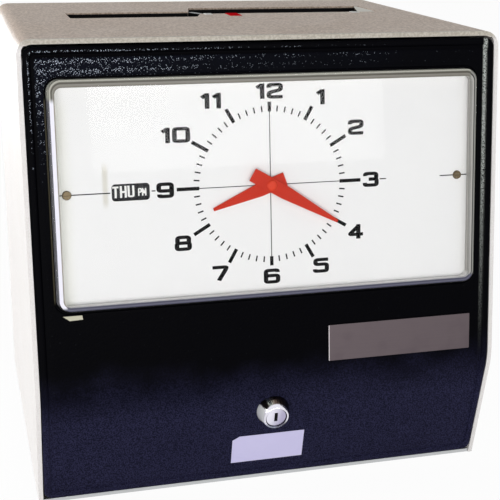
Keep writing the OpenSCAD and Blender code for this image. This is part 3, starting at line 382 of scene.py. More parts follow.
def clouds(board, size, detail=2.0, at=None):
    """Noise from 0 to 1 whose patches are about size millimetres across."""
    inputs = {"Vector": at or board.place(), "Scale": 1000.0 / size, "Detail": detail}
    return board.node("ShaderNodeTexNoise", None, inputs)


def cells(board, size, out="Distance"):
    """Voronoi cells about size millimetres across: the distance from a cell's middle, or with
    out="Color" one level for the whole cell."""
    inputs = {"Vector": board.place(), "Scale": 1000.0 / size}
    return board.node("ShaderNodeTexVoronoi", None, inputs, out=out)


def blend(board, share, first, second):
    """Mixes two colours by a share from 0 to 1."""
    return board.node("ShaderNodeMix", {"data_type": "RGBA"}, {0: share, 6: first, 7: second}, out=2)


def steps_of(board, value, low, high):
    """A soft threshold from 0 at low to 1 at high. Where low is the larger number, what lies
    below is 1. For places on the clock, low and high are in metres."""
    inputs = {"Value": value, "From Min": low, "From Max": high}
    return board.node("ShaderNodeMapRange", {"interpolation_type": "SMOOTHSTEP"}, inputs)


def across(board, axis):
    """One of the three Object coordinates, in metres."""
    return board.node("ShaderNodeSeparateXYZ", None, {0: board.place()}, out=axis)


print("linear putty:", [round(v, 3) for v in screen(235, 231, 226)[:3]])


# %% Relief, and the shader that ends a board
def relief(board, height, depth):
    """A Bump of the height pattern, depth in millimetres from its 0 to its 1."""
    return board.node("ShaderNodeBump", None, {"Height": height, "Distance": depth * MM, "Strength": 1.0})


def finish(board, **sockets):
    """Ends a board with a Principled shader; underscores in names stand for spaces."""
    named = {key.replace("_", " "): value for key, value in sockets.items()}
    shader = board.node("ShaderNodeBsdfPrincipled", None, named)
    board.node("ShaderNodeOutputMaterial", None, {"Surface": shader})
    return board.material


print("materials so far:", len(bpy.data.materials))

# %% [markdown]
# ## The finishes
# Each finish copies what the real material shows at its own scale. The pale case and the plain plastics have
# a fine peel and a few rubbed places, and the case's top is painted browner, with settled dirt and painted
# shade.
# One flat colour would look like a toy, and a picture would only fit one object, so each is
# a plain colour that a few sizes of noise break up.


# %% Painted and moulded plastics
# Where the top's dirt and painted shade begin, by height, and where the front lip ends, by depth, in metres.
TOP_DIRT_AND_SHADE_UP = (0.2528, 0.2572)
BEHIND_LIP = (-0.0822, -0.0806)


def enamel(name, colour, worn, peel, rough, speckle=0.30, shine=0.5, dirt_and_shade=None):
    """Smooth paint or moulding: cloudy tint, fine peel, rubbed patches, and gloss that drifts.
    Above a height just under the top, the colour turns brown and mottled, settled dirt together with painted
    shade of the top, and it is greyer on the front lip before BEHIND_LIP."""
    board = Board(name)
    tint = clouds(board, 38, 3)
    speck = clouds(board, 0.8, 2)
    rubbed = steps_of(board, clouds(board, 14, 4), 0.60, 0.78)
    base = blend(board, tint * 0.45, colour, worn)
    base = blend(board, rubbed * 0.25, base, worn)
    base = blend(board, steps_of(board, speck, 0.40, 0.62) * speckle, base, worn)
    if dirt_and_shade:
        # The top is painted brown and mottled, dirt together with painted shade; the front lip gets a greyer
        # painted shade.
        mottle = steps_of(board, clouds(board, 1.3, 3), 0.38, 0.62)
        top_dirt_and_shade = steps_of(board, across(board, "Z") + tint * 0.001, *TOP_DIRT_AND_SHADE_UP)
        on_top = steps_of(board, across(board, "Y"), *BEHIND_LIP)
        brown = blend(board, mottle, dirt_and_shade, screen(208, 189, 172))
        lip = blend(board, mottle, screen(174, 167, 154), screen(196, 190, 178))
        base = blend(board, top_dirt_and_shade, base, blend(board, on_top, lip, brown))
    gloss = rough + (tint - 0.5) * 0.16 + rubbed * 0.10
    look = {"Base_Color": base, "Roughness": gloss, "Normal": relief(board, speck, peel)}
    return finish(board, Specular_IOR_Level=shine, **look)


# Brown of the case's top: settled dirt together with painted shade.
TOP_DIRT_AND_SHADE = screen(168, 147, 130)
CASE = enamel("case_putty", screen(240, 237, 236), screen(224, 220, 216), 0.03, 0.46, 0.5, 0.3, TOP_DIRT_AND_SHADE)
BLACK = enamel("black_moulding", screen(9, 9, 11), screen(19, 18, 21), 0.02, 0.48, 0.3, 0.06)
RUBBER = enamel("foot_rubber", screen(26, 26, 28), screen(48, 47, 46), 0.05, 0.75, 0.3, 0.15)
SPOOL = enamel("spool_plastic", screen(52, 53, 57), screen(78, 78, 80), 0.01, 0.35, 0.3, 0.3)
DRUM = enamel("drum_charcoal", screen(38, 39, 42), screen(56, 56, 59), 0.01, 0.5, 0.3, 0.15)
GREY = enamel("frame_grey", screen(112, 116, 118), screen(140, 142, 142), 0.02, 0.5)
print("plastics:", [m.name for m in (CASE, BLACK, RUBBER, SPOOL, DRUM, GREY)])

# %% [markdown]
# The black front is moulded with the grain of leather. Modelling every cell would cost millions of faces, so
# Voronoi cells give the grain to a bump instead. Masks then paint light on it: painted glints on its crests
# near the top left corner, a paler painted reflection of the floor on the part below the knee, and painted
# highlights along the right border and beside the lens at the left.


# %% Leather-grained front
GRAIN_SIZE = 1.15
GLINT_SIZE = 0.62
# Each mask goes from 0 at its first number to 1 at its second, in metres.
FLOOR_SHEEN_UP = (0.105, 0.065)
GLINT_CORNER_UP = (0.225, 0.335)
RIGHT_HIGHLIGHT_FROM = (0.1206, 0.1216)
RIGHT_HIGHLIGHT_TO = (0.1237, 0.1227)
RIGHT_HIGHLIGHT_FADE = (0.070, 0.240)
LIP_HIGHLIGHT_X = -0.1174
LIP_HIGHLIGHT_UP = 0.177


def leather(name):
    """Black moulding: cells of grain GRAIN_SIZE across with rounded crests. Painted glints stand on fine
    crests at the top left, where the field is painted a little paler too. A painted reflection of the pale
    floor makes the part below the knee paler and bluish, and painted highlights run grey down the right
    border and as a hairline beside the lens at the left. The mesh attribute grain is 0 on the smoother bead,
    and the second attribute is 1 along the line of painted glints on the bead."""
    board = Board(name)
    grain = board.node("ShaderNodeAttribute", {"attribute_name": "grain"}, out="Fac")
    up, right = across(board, "Z"), across(board, "X")
    warp = clouds(board, 2.2, 3)
    crest = cells(board, GRAIN_SIZE)
    fine = clouds(board, 0.45, 2)
    patches = clouds(board, 26, 3)
    rub = board.node("ShaderNodeAttribute", {"attribute_name": "rub"}, out="Fac")
    # Painted reflection of the pale floor: the part below the knee is paler and bluish.
    floor_sheen = steps_of(board, up + patches * 0.03, *FLOOR_SHEEN_UP)
    # Painted glints and painted sheen gather towards the top left corner.
    corner = steps_of(board, up - right * 0.35 + patches * 0.05, *GLINT_CORNER_UP)
    speck = steps_of(board, cells(board, GLINT_SIZE), 0.38, 0.22)
    level = cells(board, GLINT_SIZE, out="Color")
    chosen = steps_of(board, level + corner * (0.52 + rub * 0.35) + patches * 0.1, 0.94, 1.08)
    glint = speck * chosen * (grain + rub)
    # Painted highlight: a grey band down the right border.
    side = steps_of(board, right, *RIGHT_HIGHLIGHT_FROM) * steps_of(board, right, *RIGHT_HIGHLIGHT_TO)
    side = side * steps_of(board, up, *RIGHT_HIGHLIGHT_FADE)
    # Painted highlight: a thin line on the lens's lip at the left.
    lip_highlight = steps_of(board, abs(right - LIP_HIGHLIGHT_X), 0.0006, 0.0002)
    lip_highlight = lip_highlight * steps_of(board, abs(up - LIP_HIGHLIGHT_UP), 0.053, 0.050)
    floor_sheen_mottle = steps_of(board, clouds(board, 0.7, 2), 0.42, 0.60)
    floor_sheen_colour = blend(board, floor_sheen_mottle, screen(22, 22, 39), screen(43, 43, 69))
    base = blend(board, patches * 0.7, screen(1, 1, 3), screen(3, 3, 6))
    # Painted sheen: the field at the top left is a little paler around the glints.
    base = blend(board, corner * grain, base, screen(12, 14, 24))
    base = blend(board, floor_sheen * (0.75 + patches * 0.5), base, floor_sheen_colour)
    base = blend(board, glint * (0.05 + corner * 0.95), base, screen(222, 232, 250))
    base = blend(board, side * steps_of(board, fine, 0.40, 0.60), base, screen(212, 217, 212))
    base = blend(board, lip_highlight * 0.9, base, screen(70, 66, 53))
    height = (1 - crest) * 0.7 * grain + warp * 0.4 * grain + fine * 0.22
    gloss = 0.36 + patches * 0.12 + fine * 0.10
    look = {"Base_Color": base, "Roughness": gloss, "Normal": relief(board, height, 0.12)}
    return finish(board, Specular_IOR_Level=0.02, **look)


LEATHER = leather("front_black")
print("front:", LEATHER.name)

# %% [markdown]
# Bare metal is told by its gloss more than by its colour. Steel and brass share one recipe of
# streaks and cloudy stains, because they were worked and have tarnished in the same way. The
# plate on the front is brushed along its length. The chrome of the lock mirrors a room that
# isn't there, so the bright and dark bands of that room are painted round the collar.


# %% Worked metals
FINE_PEEL = 0.004
STREAK = 0.7
STAIN = 11


def metal(name, colour, stained, rough, streak=(1.0, 1.0, 1.0)):
    """Worked metal: streaks along one way, cloudy stains, gloss that varies with both."""
    board = Board(name)
    lines = clouds(board, STREAK, 3, stretched(board, streak))
    stains = clouds(board, STAIN, 4)
    base = blend(board, steps_of(board, stains, 0.35, 0.85) * 0.45, colour, stained)
    base = blend(board, lines * 0.25, base, stained)
    look = {"Base_Color": base, "Normal": relief(board, lines, FINE_PEEL)}
    look["Roughness"] = rough + (lines - 0.5) * 0.12 + (stains - 0.5) * 0.12
    return finish(board, Metallic=1.0, **look)


def ramp_of(board, where, stops):
    """A colour ramp whose stops are positions and screen colours."""
    stops = [(at, screen(*colour)) for at, colour in stops]
    return board.node("ShaderNodeValToRGB", {"stops": stops}, {0: where})


ZINC = metal("zinc_steel", screen(192, 194, 196), screen(174, 175, 173), 0.34, (1, 0.1, 1))
BRASS = metal("gear_brass", screen(206, 172, 98), screen(160, 126, 70), 0.28)
# The dial's screws were gilt and have gone brown
GOLD = metal("screw_gold", screen(104, 92, 72), screen(58, 50, 36), 0.45)
print("worked metals:", [m.name for m in (ZINC, BRASS, GOLD)])


# %% Chrome of the lock and steel of the plate
COLLAR_UP = 0.0533
COLLAR_SIDE = (-0.1102, -0.1094)
PLUG_UP = 0.0519
PLUG_GAP_SHADE = (0.00535, 0.00575)
PLATE_LEFT_HIGHLIGHT = (0.0312, 0.0308)


def collar_chrome(name):
    """Chrome of the lock's collar, with the bright and dark bands of a room painted round it as a painted
    reflection: bright on the left side and brown on top. The bands go round the lock's axis by the angle
    atan2(x, z)."""
    board = Board(name)
    right, up, back = across(board, "X"), across(board, "Z") - COLLAR_UP, across(board, "Y")
    turn = board.node("ShaderNodeMath", {"operation": "ARCTAN2"}, {0: right, 1: up})
    stains = clouds(board, 5, 3)
    where = turn / math.tau + 0.5 + (stains - 0.5) * 0.03
    # Painted reflection: the bright and dark bands of a room round the collar.
    ring = ramp_of(board, where, [
        (0.0, (126, 130, 146)), (0.12, (150, 154, 168)), (0.17, (250, 250, 254)),
        (0.335, (248, 250, 250)), (0.355, (66, 58, 54)), (0.40, (84, 80, 74)),
        (0.425, (196, 206, 198)), (0.46, (150, 142, 132)), (0.49, (88, 74, 67)),
        (0.62, (104, 90, 84)), (0.66, (44, 38, 38)), (0.84, (34, 30, 34)),
        (1.0, (112, 112, 124)),
    ])
    on_side = steps_of(board, back, *COLLAR_SIDE)
    base = blend(board, on_side, screen(232, 230, 240), ring)
    # The bright band is made less metallic, so that it shows as a painted highlight.
    pale = steps_of(board, where, 0.14, 0.18) * steps_of(board, where, 0.348, 0.330)
    return finish(board, Base_Color=base, Roughness=0.14 + stains * 0.06, Metallic=1.0 - pale * 0.75)


def plug_chrome(name):
    """Chrome of the turning plug: a dark ring of painted shade in the gap where it meets the collar, and a
    face painted paler to the left and darker to the top right, painted light and shade. The distance from
    the lock's axis is sqrt(x^2 + z^2)."""
    board = Board(name)
    right, up = across(board, "X"), across(board, "Z") - PLUG_UP
    reach = (right * right + up * up) ** 0.5
    stains = clouds(board, 4, 3)
    # Painted light and shade across the plug's face.
    pale = steps_of(board, right - up * 0.3 + (stains - 0.5) * 0.001, 0.0045, -0.0045)
    base = blend(board, pale, screen(178, 172, 200), screen(236, 234, 246))
    # Painted shade in the gap round the plug.
    base = blend(board, steps_of(board, reach, *PLUG_GAP_SHADE), base, screen(40, 38, 46))
    return finish(board, Base_Color=base, Roughness=0.22 + stains * 0.06, Metallic=0.6)


def plate_steel(name):
    """The bare plate: brushed steel gone dull, with a painted highlight along its left edge."""
    board = Board(name)
    lines = clouds(board, STREAK, 3, stretched(board, (0.03, 1, 1)))
    stains = clouds(board, STAIN, 4)
    base = blend(board, steps_of(board, stains, 0.45, 0.75) * 0.6, screen(90, 81, 84), screen(82, 73, 77))
    base = blend(board, lines * 0.25, base, screen(76, 69, 73))
    # Painted highlight along the plate's left edge.
    rubbed = steps_of(board, across(board, "X"), *PLATE_LEFT_HIGHLIGHT)
    base = blend(board, rubbed, base, screen(190, 184, 186))
    look = {"Base_Color": base, "Normal": relief(board, lines, FINE_PEEL)}
    look["Roughness"] = 0.45 + (lines - 0.5) * 0.16
    return finish(board, Metallic=1.0, **look)


PLUG = plug_chrome("plug_chrome")
COLLAR = collar_chrome("collar_chrome")
PLATE = plate_steel("plate_taupe")
print("chrome and plate:", [m.name for m in (PLUG, COLLAR, PLATE)])

# %% [markdown]
# Hands, marks and label are thin coats of paint or ink. They could do with one colour each,
# but a slow drift and fine grit keep them from looking cut out. The dial gets a recipe of its
# own, because paint behind a lens ages at its edges first.


# %% Paints and inks
def paint(name, colour, worn, rough, shine):
    """A thin coat of paint or ink: a faint tint and gloss that drifts."""
    board = Board(name)
    drift = clouds(board, 9, 3)
    grit = clouds(board, 0.35, 2)
    base = blend(board, drift * 0.5 + grit * 0.25, colour, worn)
    look = {"Base_Color": base, "Roughness": rough + drift * 0.12, "Normal": relief(board, grit, FINE_PEEL)}
    return finish(board, Specular_IOR_Level=shine, **look)


def dial_paint(name):
    """White paint with a faint drift, darker towards the left and right edges, painted shade down the left
    side, cream where it runs under the sill, and one faint yellowish grey streak that stands beside the
    calendar."""
    board = Board(name)
    drift = clouds(board, 24, 3)
    grit = clouds(board, 0.35, 2)
    right, up = across(board, "X"), across(board, "Z")
    under_sill = steps_of(board, up, 0.1206, 0.1196)
    beside = steps_of(board, abs(right + 0.0885), 0.0022, 0.0004)
    reach = steps_of(board, abs(up - 0.1835), 0.0135, 0.0070)
    edge = steps_of(board, abs(right), 0.105, 0.1165)
    # Painted shade down the left side of the dial.
    left_shade = steps_of(board, right + drift * 0.003, -0.1015, -0.1095) * steps_of(board, up, 0.232, 0.220)
    base = blend(board, drift * 0.4 + grit * 0.2, screen(250, 250, 250), screen(243, 243, 245))
    base = blend(board, edge * (0.15 + drift * 0.3), base, screen(234, 232, 228))
    base = blend(board, left_shade * (0.35 + drift * 0.5), base, screen(230, 231, 222))
    base = blend(board, beside * reach * (0.25 + drift * 0.35), base, screen(196, 190, 166))
    base = blend(board, under_sill, base, screen(214, 208, 188))
    look = {"Base_Color": base, "Roughness": 0.40 + drift * 0.12, "Normal": relief(board, grit, FINE_PEEL)}
    return finish(board, Specular_IOR_Level=0.1, **look)


DIAL = dial_paint("dial_white")
INK = paint("dial_ink", screen(8, 8, 9), screen(18, 18, 19), 0.5, shine=0.04)
HANDS = paint("hand_red", screen(206, 52, 30), screen(194, 46, 28), 0.30, shine=0.05)
# The cap's paint is a brighter red than the hands', which stands in for the highlight on its dome: a painted
# highlight.
CAP_RED_HIGHLIT = paint("cap_orange_highlit", screen(222, 64, 30), screen(208, 54, 28), 0.30, shine=0.15)
LABEL = paint("label_white", screen(214, 209, 243), screen(204, 199, 236), 0.45, shine=0.2)
CREAM = paint("tab_cream", screen(208, 204, 184), screen(192, 188, 166), 0.45, shine=0.2)
# Pale white of the ramp in the slot: a painted highlight of the lit right end.
RAMP_HIGHLIGHT_WHITE = paint("ramp_highlight_white", screen(236, 234, 224), screen(220, 218, 208), 0.45, shine=0.2)
MARK_RED = paint("mark_red", screen(232, 24, 34), screen(214, 20, 32), 0.5, shine=0.0)
MARK_WHITE = paint("mark_white", screen(252, 252, 250), screen(246, 246, 244), 0.5, shine=0.0)
print("paints:", [m.name for m in (DIAL, INK, HANDS, CAP_RED_HIGHLIT, LABEL, CREAM, RAMP_HIGHLIGHT_WHITE)])
print("marks:", [m.name for m in (MARK_RED, MARK_WHITE)])

# %% [markdown]
# The solenoid's coil is wound wire, and the ribbon is woven cloth soaked with ink. Both show
# fine bands side by side, far too many to model, so a Wave texture draws and embosses them.


# %% Wound wire and woven ribbon
def banded(name, colour, dark, axis, pitch, rough, metallic):
    """Fine bands side by side across one axis, as wound wire or the weave of a ribbon."""
    board = Board(name)
    settings = {"wave_type": "BANDS", "bands_direction": axis}
    inputs = {"Vector": board.place(), "Scale": 1000.0 / pitch / math.tau * 2, "Distortion": 0.4}
    bands = board.node("ShaderNodeTexWave", settings, inputs, out=1)
    drift = clouds(board, 6, 3)
    base = blend(board, bands * 0.6 + drift * 0.3, dark, colour)
    gloss = rough + drift * 0.15
    shape = relief(board, bands, 0.08)
    return finish(board, Base_Color=base, Roughness=gloss, Metallic=metallic, Normal=shape)


COIL = banded("coil_copper", screen(184, 104, 62), screen(96, 48, 30), "Y", 0.6, 0.3, 1.0)
RIBBON = banded("ribbon_ink", screen(50, 40, 72), screen(26, 20, 38), "Z", 0.5, 0.7, 0.0)
print("wound:", COIL.name, RIBBON.name)

# %% [markdown]
# The lens is clear moulding. Real refraction would blur the small print and slow the render, so light goes
# straight through and a mirror share stands for the surface. Its thick rim gathers the light, and gets a
# finish of its own with painted lines of light and shade that run along it.


# %% Clear lens
def clear(name, tint):
    """Clear moulding: see-through, with a reflection that is faint face on, because what
    stands in front is dim, and grows towards grazing sight as facing to the fifth power."""
    board = Board(name)
    through = board.node("ShaderNodeBsdfTransparent", None, {"Color": tint})
    smear = clouds(board, 20, 3)
    mirror = board.node("ShaderNodeBsdfGlossy", None, {"Color": (1, 1, 1, 1), "Roughness": 0.03})
    facing = board.node("ShaderNodeLayerWeight", None, {"Blend": 0.5}, out="Facing")
    share = facing**5 * 0.96 + (smear * 0.006 + 0.003)
    both = board.node("ShaderNodeMixShader", None, {0: share, 1: through, 2: mirror})
    board.node("ShaderNodeOutputMaterial", None, {"Surface": both})
    return board.material


CLEAR = clear("lens_clear", (0.997, 0.997, 0.995, 1.0))
print("lens:", CLEAR.name)


# %% Rim of the lens
RIM_SPAN = 8.0
RIM_RIGHT = (0.1118, 0.1132)
RIM_SILL = (0.1262, 0.1242)
RIM_LEFT = (-0.1108, -0.1122)
RIM_LEFT_HEAD = (0.2300, 0.2265)
RIM_LEFT_FOOT = (0.1222, 0.1240)


def edge_lit(name):
    """The thick rim of the lens. The light and shade that it gathers from inside the moulding are painted on
    it as fine pale and dark lines that run along it. The mesh attribute line counts the millimetres round
    its section, and the ramps take RIM_SPAN of them. Each side has its own painted reflection of what lies
    beside it: the light of the room on the left, and the dark front below."""
    board = Board(name)
    line = board.node("ShaderNodeAttribute", {"attribute_name": "line"}, out="Fac")
    right, up = across(board, "X"), across(board, "Z")
    drift = clouds(board, 3, 2)
    where = line / RIM_SPAN + (drift - 0.5) * 0.012
    head = ramp_of(board, where, [
        (0.0, (190, 190, 179)), (0.10, (182, 181, 170)), (0.14, (90, 87, 78)), (0.20, (82, 79, 70)),
        (0.23, (134, 131, 122)), (0.31, (128, 125, 116)), (0.34, (100, 97, 88)),
        (0.38, (190, 188, 180)), (0.60, (206, 204, 198)), (1.0, (218, 216, 212)),
    ])
    right_side = ramp_of(board, where, [
        (0.0, (96, 96, 92)), (0.08, (100, 100, 96)), (0.11, (150, 150, 146)), (0.16, (146, 146, 142)),
        (0.19, (52, 52, 50)), (0.23, (58, 58, 56)), (0.26, (176, 174, 170)), (0.36, (168, 166, 162)),
        (0.40, (120, 120, 118)), (0.50, (178, 176, 172)), (0.58, (110, 108, 106)),
        (0.66, (190, 188, 182)), (0.82, (150, 148, 144)), (1.0, (206, 204, 200)),
    ])
    sill = ramp_of(board, where, [
        (0.0, (12, 12, 14)), (0.07, (20, 20, 24)), (0.11, (74, 74, 94)), (0.19, (106, 106, 124)),
        (0.25, (72, 72, 90)), (0.32, (82, 82, 98)), (0.36, (150, 150, 156)),
        (0.385, (228, 227, 226)), (1.0, (238, 237, 235)),
    ])
    left_side = ramp_of(board, where, [
        (0.0, (120, 120, 128)), (0.04, (240, 238, 252)), (0.27, (246, 244, 254)),
        (0.30, (156, 152, 148)), (0.34, (132, 124, 104)), (0.38, (242, 241, 242)),
        (1.0, (240, 239, 238)),
    ])
    at_right = steps_of(board, right, *RIM_RIGHT)
    below = steps_of(board, up, *RIM_SILL)
    at_left = steps_of(board, right, *RIM_LEFT) * steps_of(board, up, *RIM_LEFT_HEAD)
    at_left = at_left * steps_of(board, up, *RIM_LEFT_FOOT)
    base = blend(board, at_right, head, right_side)
    base = blend(board, below, base, sill)
    base = blend(board, at_left, base, left_side)
    return finish(board, Base_Color=base, Roughness=0.2 + drift * 0.1, Specular_IOR_Level=0.2)


RIM = edge_lit("lens_rim")
print("rim:", RIM.name)

# %% [markdown]
# ## The moulded case
# The case is one deep moulding, open at the front, with two long round edges on top and a
# slot for the card. Its solid already has the right form, so it is copied and its edges are
# rounded a little more, as they come out of a mould.

# %% Case, base, back, feet and screws
dress("case_shell", CASE, 0.7, 3)
dress("base_plate", ZINC, 0.25)
dress("back_plate", ZINC, 0.25)
dress("rubber_feet", RUBBER, 0.6, 3)
dress("case_screws", ZINC, 0.2)
dress("cord_bushing", BLACK, 0.5, 3)
dress("card_throat", BLACK, 0.4)
dress("red_index_mark", MARK_RED, 0.12)
dress("white_index_marks", MARK_WHITE, 0.12)
print("case dressed")

# %% [markdown]
# ## The front moulding
# The front carries a raised bead all round, a thin groove inside it and then the grained
# field, which bends over the knee and ends at the lip of the window. It could be modelled
# by hand, but as rings it is exact: each ring is a rounded rectangle at its own offset and
# height, and the rings close on themselves behind, so the shell has no seam.

# %% Rounded rectangles as rings
SIDE_STEPS = 84
CORNER_STEPS = 14


def rounded(width, height, radius):
    """A closed rounded rectangle about (0, 0), the same number of points for every size.
    Each corner is centre + radius (cos a, sin a); each side is split evenly."""
    turn = np.linspace(0, math.pi / 2, CORNER_STEPS)
    signs = np.array([[1, 1], [-1, 1], [-1, -1], [1, -1]])
    centres = signs * [width / 2 - radius, height / 2 - radius]
    angles = turn + np.arange(4)[:, None] * math.pi / 2
    arcs = centres[:, None, :] + radius * np.stack([np.cos(angles), np.sin(angles)], -1)
    ends = np.roll(arcs[:, 0], -1, axis=0)
    share = np.linspace(0, 1, SIDE_STEPS + 1)[1:-1, None]
    sides = arcs[:, -1][:, None] * (1 - share) + ends[:, None] * share
    return np.concatenate([arcs, sides], axis=1).reshape(-1, 2)


print("points in a ring:", len(rounded(10, 10, 1)))


# %% Rings of the front
def panel_ring(inset):
    """The front's outline moved in by inset, as (x, z)."""
    height = PANEL_Z1 - PANEL_Z0
    ring = rounded(PANEL_W - 2 * inset, height - 2 * inset, max(PANEL_R - inset * 0.6, 1.2))
    return ring + [0, (PANEL_Z0 + PANEL_Z1) / 2]


def window_ring(grow):
    """The window's outline made larger by grow, as (x, z): z = knee + s cos(lean)."""
    ring = rounded(WINDOW_W + 2 * grow, WINDOW_H + 2 * grow, WINDOW_R + grow)
    return np.stack([ring[:, 0], KNEE_Z + (ring[:, 1] + WINDOW_S) * math.cos(LEAN)], -1)


def between(first, second, count, out):
    """Rings that go evenly from one outline to another at one height."""
    share = np.linspace(0, 1, count)[:, None, None]
    return front_at(*np.moveaxis(first * (1 - share) + second * share, -1, 0), out)


# Each row is inset from the outline, or growth over the window, and height over the front.
BEAD_PROFILE = np.array(
    [[0.05, -1.55], [0.0, -1.4], [0.0, -1.05], [0.08, -0.62], [0.33, -0.27], [0.75, -0.06], [1.3, 0.0],
     [1.9, 0.0], [2.2, 0.0], [2.6, 0.0], [3.0, -0.06], [3.42, -0.25], [3.68, -0.55], [3.8, -0.9],
     [3.95, -1.1], [4.2, -1.16], [4.6, -1.12], [5.3, -0.98], [6.1, -0.86], [6.9, -0.81], [7.4, -0.8]]
)
LIP_PROFILE = np.array(
    [[1.75, -0.8], [1.5, -0.84], [1.32, -0.96], [1.22, -1.14], [1.12, -1.27], [0.9, -1.3], [0.35, -1.3],
     [0.12, -1.34], [0.0, -1.5], [0.02, -1.6]]
)
BEAD_END, FIELD_OUT = BEAD_PROFILE[-1]
BACK_OUT = -1.62
bead_rings = np.stack([front_at(*panel_ring(w).T, out) for w, out in BEAD_PROFILE])
field_rings = between(panel_ring(BEAD_END), window_ring(LIP_PROFILE[0, 0]), 54, FIELD_OUT)[1:-1]
lip_rings = np.stack([front_at(*window_ring(w).T, out) for w, out in LIP_PROFILE])
back_rings = between(window_ring(0.1), panel_ring(0.15), 34, BACK_OUT)
rings = np.concatenate([bead_rings, field_rings, lip_rings, back_rings])
print("rings:", len(rings), "of", rings.shape[1], "points")


# %% Skin of the front, and where its grain shows
def write_values(mesh, name, values):
    """Gives every point of a mesh one number under a name that a finish can read."""
    attribute = mesh.attributes.new(name, "FLOAT", "POINT")
    attribute.data.foreach_set("value", np.asarray(values).astype(np.float32))


def on_rings(first, last):
    """1 for the points of the rings from first to last, else 0."""
    number = np.repeat(np.arange(len(rings)), rings.shape[1])
    return np.where((number >= first) & (number <= last), 1.0, 0.0)


skin_mesh = mesh_from("front_skin", rings.reshape(-1, 3), quads(len(rings), rings.shape[1], True, True))
# The grain runs from the bead's last three rings to the lip's first four. Painted glints run along two rings
# of the bead's crest.
write_values(skin_mesh, "grain", on_rings(len(bead_rings) - 3, len(bead_rings) + len(field_rings) + 3))
write_values(skin_mesh, "rub", on_rings(8, 9))
face_outwards(skin_mesh)
print("skin:", len(skin_mesh.polygons), "faces before the notch")

# %% [markdown]
# Under the left end of the window the field has a small notch, in which a cream tab of the
# lens shows. Rings can't hold one odd corner, so a slab is taken out of the skin by a
# Boolean, and the tab is the same slab made a little smaller and thinner.


# %% Notch and tab under the window
def slab(name, corners, out0, out1, place=upper):
    """A closed plate with four corners (x, s), between two heights out. place turns them into
    points in metres, on the front's upper flat unless it says otherwise."""
    x, s = np.array(corners, float).T
    points = np.concatenate([place(x, s, out0), place(x, s, out1)])
    faces = np.array([[0, 1, 2, 3], [7, 6, 5, 4], [0, 4, 5, 1], [1, 5, 6, 2], [2, 6, 7, 3], [3, 7, 4, 0]])
    made = mesh_from(name, points, faces)
    face_outwards(made)
    return made


def cut(mesh, tool):
    """The first mesh less the second, as a new mesh, by an applied Boolean."""
    whole = bpy.data.objects.new("whole", mesh)
    knife = bpy.data.objects.new("knife", tool)
    for made in (whole, knife):
        bpy.context.scene.collection.objects.link(made)
    boolean = whole.modifiers.new("cut", "BOOLEAN")
    boolean.operation = "DIFFERENCE"
    boolean.solver = "EXACT"
    boolean.object = knife
    depsgraph = bpy.context.evaluated_depsgraph_get()
    result = bpy.data.meshes.new_from_object(whole.evaluated_get(depsgraph))
    bpy.data.objects.remove(whole)
    bpy.data.objects.remove(knife)
    return result


NOTCH = np.array([[-114.1, 44.3], [-110.4, 41.6], [-103.2, 41.9], [-103.6, 44.3]])
skin_mesh = cut(skin_mesh, slab("notch", NOTCH, -3, 1))
piece("front_skin", skin_mesh, LEATHER, "front")
middle = NOTCH.mean(axis=0)
tab = slab("lens_tab", middle + (NOTCH - middle) * 0.96, -1.45, -0.86)
round_edges(piece("lens_tab", tab, CREAM, "front"), 0.12)
print("skin:", len(skin_mesh.polygons), "faces")

# %% [markdown]
# Behind the skin the moulding has its ribs, hinge lugs and the hole for the lock. They could
# be modelled again, but the drawing has them, so they come from the CAD copy, whose outer
# surface is pushed back under the skin.


# %% Inner side of the front
def pushed_back(mesh, limit):
    """Moves every point whose out is above limit back to it, along the front's own normal.
    The angle of the normal is atan2(z - arc centre, arc centre - y), held to lean and tuck."""
    points = np.zeros(len(mesh.vertices) * 3)
    mesh.vertices.foreach_get("co", points)
    points = points.reshape(-1, 3) / MM
    angle = np.arctan2(points[:, 2] - ARC_Z, ARC_Y - points[:, 1])
    angle = np.clip(angle, -TUCK, LEAN)
    normal = np.stack([np.zeros(len(points)), -np.cos(angle), np.sin(angle)], -1)
    centre = np.array([0, ARC_Y, ARC_Z])
    out = ((points - centre) * normal).sum(-1) - KNEE_R
    back = np.minimum(limit - out, 0)
    mesh.vertices.foreach_set("co", ((points + normal * back[:, None]) * MM).ravel())
    mesh.update()
    return mesh


INNER_OUT = -1.5
inner = pushed_back(copy_of("front_panel"), INNER_OUT)
with editing(inner) as work:
    bmesh.ops.dissolve_degenerate(work, edges=work.edges, dist=SLIVER)
piece("front_panel.inner", inner, BLACK, "front", ("front_panel",))
print("inner side:", len(inner.polygons), "faces")

# %% [markdown]
# ## Dial and printing
# The dial is a white painted sheet, held by two screws, with the calendar's drums behind it.
# Their solids already have the right form. The marks are printed, so they are thin strokes
# that lie just over the face: centre lines with soft corners, given a width and a height.

# %% Dial plate, screws and drums
dress("dial_plate", DIAL, 0.15)
dress("dial_screws", GOLD, 0.15)
dress("day_drum", DRUM, 0.25)
dress("half_day_drum", DRUM, 0.25)
print("dial dressed")


# %% Lines with soft corners and a width
def soften(corners, reach, closed):
    """Rounds the corners of a line: near each corner P the line is the curve
    (1-u)^2 A + 2u(1-u) P + u^2 B, where A and B lie reach before and after P."""
    points = np.array(corners, float)
    before = np.roll(points, 1, axis=0) - points
    after = np.roll(points, -1, axis=0) - points
    before *= np.minimum(reach / np.linalg.norm(before, axis=1, keepdims=True), 0.49)
    after *= np.minimum(reach / np.linalg.norm(after, axis=1, keepdims=True), 0.49)
    u = np.linspace(0, 1, 7)[:, None, None]
    curve = (1 - u) ** 2 * (points + before) + 2 * u * (1 - u) * points + u**2 * (points + after)
    curve = np.moveaxis(curve, 0, 1)
    if closed:
        return curve.reshape(-1, 2)
    return np.concatenate([points[:1], curve[1:-1].reshape(-1, 2), points[-1:]])


